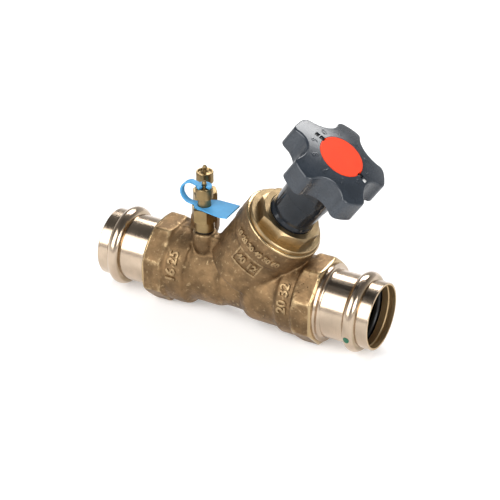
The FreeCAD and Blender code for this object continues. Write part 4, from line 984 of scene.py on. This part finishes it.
class VALVE_OT_stage(bpy.types.Operator):
    """Sets up the floor, the lamps, the studio's walls and the camera"""

    bl_idname = "valve.stage"
    bl_label = "Stage"

    def execute(self, context):
        scene = context.scene
        studio = scene.valve_studio
        self.add_floor(scene)
        self.add_world(scene)
        self.add_lamps(scene, studio)
        self.add_camera(scene, studio)
        scene.view_settings.view_transform = "Standard"
        return {"FINISHED"}

    def add_floor(self, scene):
        shape = bmesh.new()
        bmesh.ops.create_grid(shape, x_segments=1, y_segments=1, size=FLOOR_REACH)
        bmesh.ops.translate(shape, verts=shape.verts, vec=(STUDIO_CENTRE.x, 0, FLOOR_HEIGHT))
        mesh = bpy.data.meshes.new("floor")
        shape.to_mesh(mesh)
        shape.free()
        floor = bpy.data.objects.new("floor", mesh)
        scene.collection.objects.link(floor)
        mesh.materials.append(self.floor_finish())

    def floor_finish(self):
        """Pale paper that the camera, metal and glass see lifted to white, shadows kept."""
        finish = Finish("floor")
        cloud = finish.noise(finish.place(), size=0.4)
        tone = finish.mix(cloud, (0.87, 0.87, 0.87), (0.89, 0.89, 0.89))
        paper = finish.node("ShaderNodeBsdfDiffuse", {}, {"Color": tone})
        seen = finish.node("ShaderNodeLightPath", {}, {}, "Is Camera Ray")
        for way in ("Is Glossy Ray", "Is Transmission Ray"):
            seen = seen.either(finish.node("ShaderNodeLightPath", {}, {}, way))
        glow = finish.node("ShaderNodeEmission", {}, {"Strength": seen * FLOOR_GLOW})
        both = finish.node("ShaderNodeAddShader", {}, {0: paper, 1: glow})
        finish.node("ShaderNodeOutputMaterial", {}, {"Surface": both})
        return finish.material

    def add_world(self, scene):
        """A pale horizon under a darker ceiling, for metal to reflect."""
        world = bpy.data.worlds.new("studio")
        scene.world = world
        world.use_nodes = True
        tree = world.node_tree
        tree.nodes.clear()
        place = tree.nodes.new("ShaderNodeTexCoord")
        split = tree.nodes.new("ShaderNodeSeparateXYZ")
        ramp = tree.nodes.new("ShaderNodeValToRGB")
        sky = tree.nodes.new("ShaderNodeBackground")
        output = tree.nodes.new("ShaderNodeOutputWorld")
        stops = ramp.color_ramp.elements
        for stop, (height, grey) in zip(stops, (WALL_GREYS[0], WALL_GREYS[-1])):
            stop.position = height
            stop.color = (grey, grey, grey, 1)
        for height, grey in WALL_GREYS[1:-1]:
            stops.new(height).color = (grey, grey, grey, 1)
        tree.links.new(place.outputs["Generated"], split.inputs[0])
        tree.links.new(split.outputs["Z"], ramp.inputs[0])
        tree.links.new(ramp.outputs[0], sky.inputs["Color"])
        tree.links.new(sky.outputs[0], output.inputs["Surface"])

    def add_lamps(self, scene, studio):
        """Softboxes: name, place, size across and up, share of the main lamp's power."""
        lamps = (
            ("key", (-0.30, -1.02, 0.78), 1.10, 1.10, 1.0),
            ("fill", (1.10, -0.55, 0.60), 0.60, 0.60, 0.50),
            ("back", (-0.05, 0.90, 0.85), 1.00, 0.40, 0.76),
        )
        for name, place, across, up, share in lamps:
            lamp = bpy.data.lights.new(name, "AREA")
            lamp.shape = "RECTANGLE"
            lamp.size = across
            lamp.size_y = up
            lamp.energy = studio.lamp_power * share
            holder = bpy.data.objects.new(name, lamp)
            holder.location = place
            holder.rotation_euler = (STUDIO_CENTRE - Vector(place)).to_track_quat("-Z", "Y").to_euler()
            scene.collection.objects.link(holder)

    def add_camera(self, scene, studio):
        back, right, up = view_axes(studio)
        aim = BRANCH_FOOT + right * studio.aim_right + up * studio.aim_up
        lens = bpy.data.cameras.new("camera")
        lens.lens = studio.lens
        lens.clip_start = NEAREST_VIEW
        camera = bpy.data.objects.new("camera", lens)
        camera.matrix_world = Matrix((
            (right.x, up.x, back.x, 0),
            (right.y, up.y, back.y, 0),
            (right.z, up.z, back.z, 0),
            (0, 0, 0, 1),
        ))
        camera.location = aim + back * studio.distance
        scene.collection.objects.link(camera)
        scene.camera = camera


def view_axes(studio):
    """The camera's backward, right and up directions."""
    back = Vector((
        math.sin(studio.azimuth) * math.cos(studio.elevation),
        -math.cos(studio.azimuth) * math.cos(studio.elevation),
        math.sin(studio.elevation),
    ))
    right = Vector((math.cos(studio.azimuth), math.sin(studio.azimuth), 0))
    return back, right, back.cross(right)


class VALVE_PT_sidebar(bpy.types.Panel):
    """Lists the valve's steps in the sidebar"""

    bl_idname = "VALVE_PT_sidebar"
    bl_label = "Balancing valve"
    bl_space_type = "VIEW_3D"
    bl_region_type = "UI"
    bl_category = "Valve"

    def draw(self, context):
        column = self.layout.column()
        for step in STEPS:
            column.operator(step.bl_idname)
        scene = context.scene
        for group in (scene.valve_colours, scene.valve_sizes, scene.valve_studio):
            for name in group.__annotations__:
                column.prop(group, name)


STEPS = (
    VALVE_OT_finishes,
    VALVE_OT_cast_body,
    VALVE_OT_cast_marks,
    VALVE_OT_wheel_marks,
    VALVE_OT_window_fields,
    VALVE_OT_port_caps,
    VALVE_OT_marking_tag,
    VALVE_OT_marking_dot,
    VALVE_OT_stage,
)

SETTINGS = (
    ("valve_colours", ValveColours),
    ("valve_sizes", ValveSizes),
    ("valve_studio", ValveStudio),
)


def register():
    for name, group in SETTINGS:
        bpy.utils.register_class(group)
        setattr(bpy.types.Scene, name, bpy.props.PointerProperty(type=group))
    for step in STEPS:
        bpy.utils.register_class(step)
    bpy.utils.register_class(VALVE_PT_sidebar)


def unregister():
    bpy.utils.unregister_class(VALVE_PT_sidebar)
    for step in reversed(STEPS):
        bpy.utils.unregister_class(step)
    for name, group in reversed(SETTINGS):
        delattr(bpy.types.Scene, name)
        bpy.utils.unregister_class(group)


def main():
    register()
    for step in STEPS:
        group, name = step.bl_idname.split(".")
        getattr(getattr(bpy.ops, group), name)()


if __name__ == "__main__":
    main()
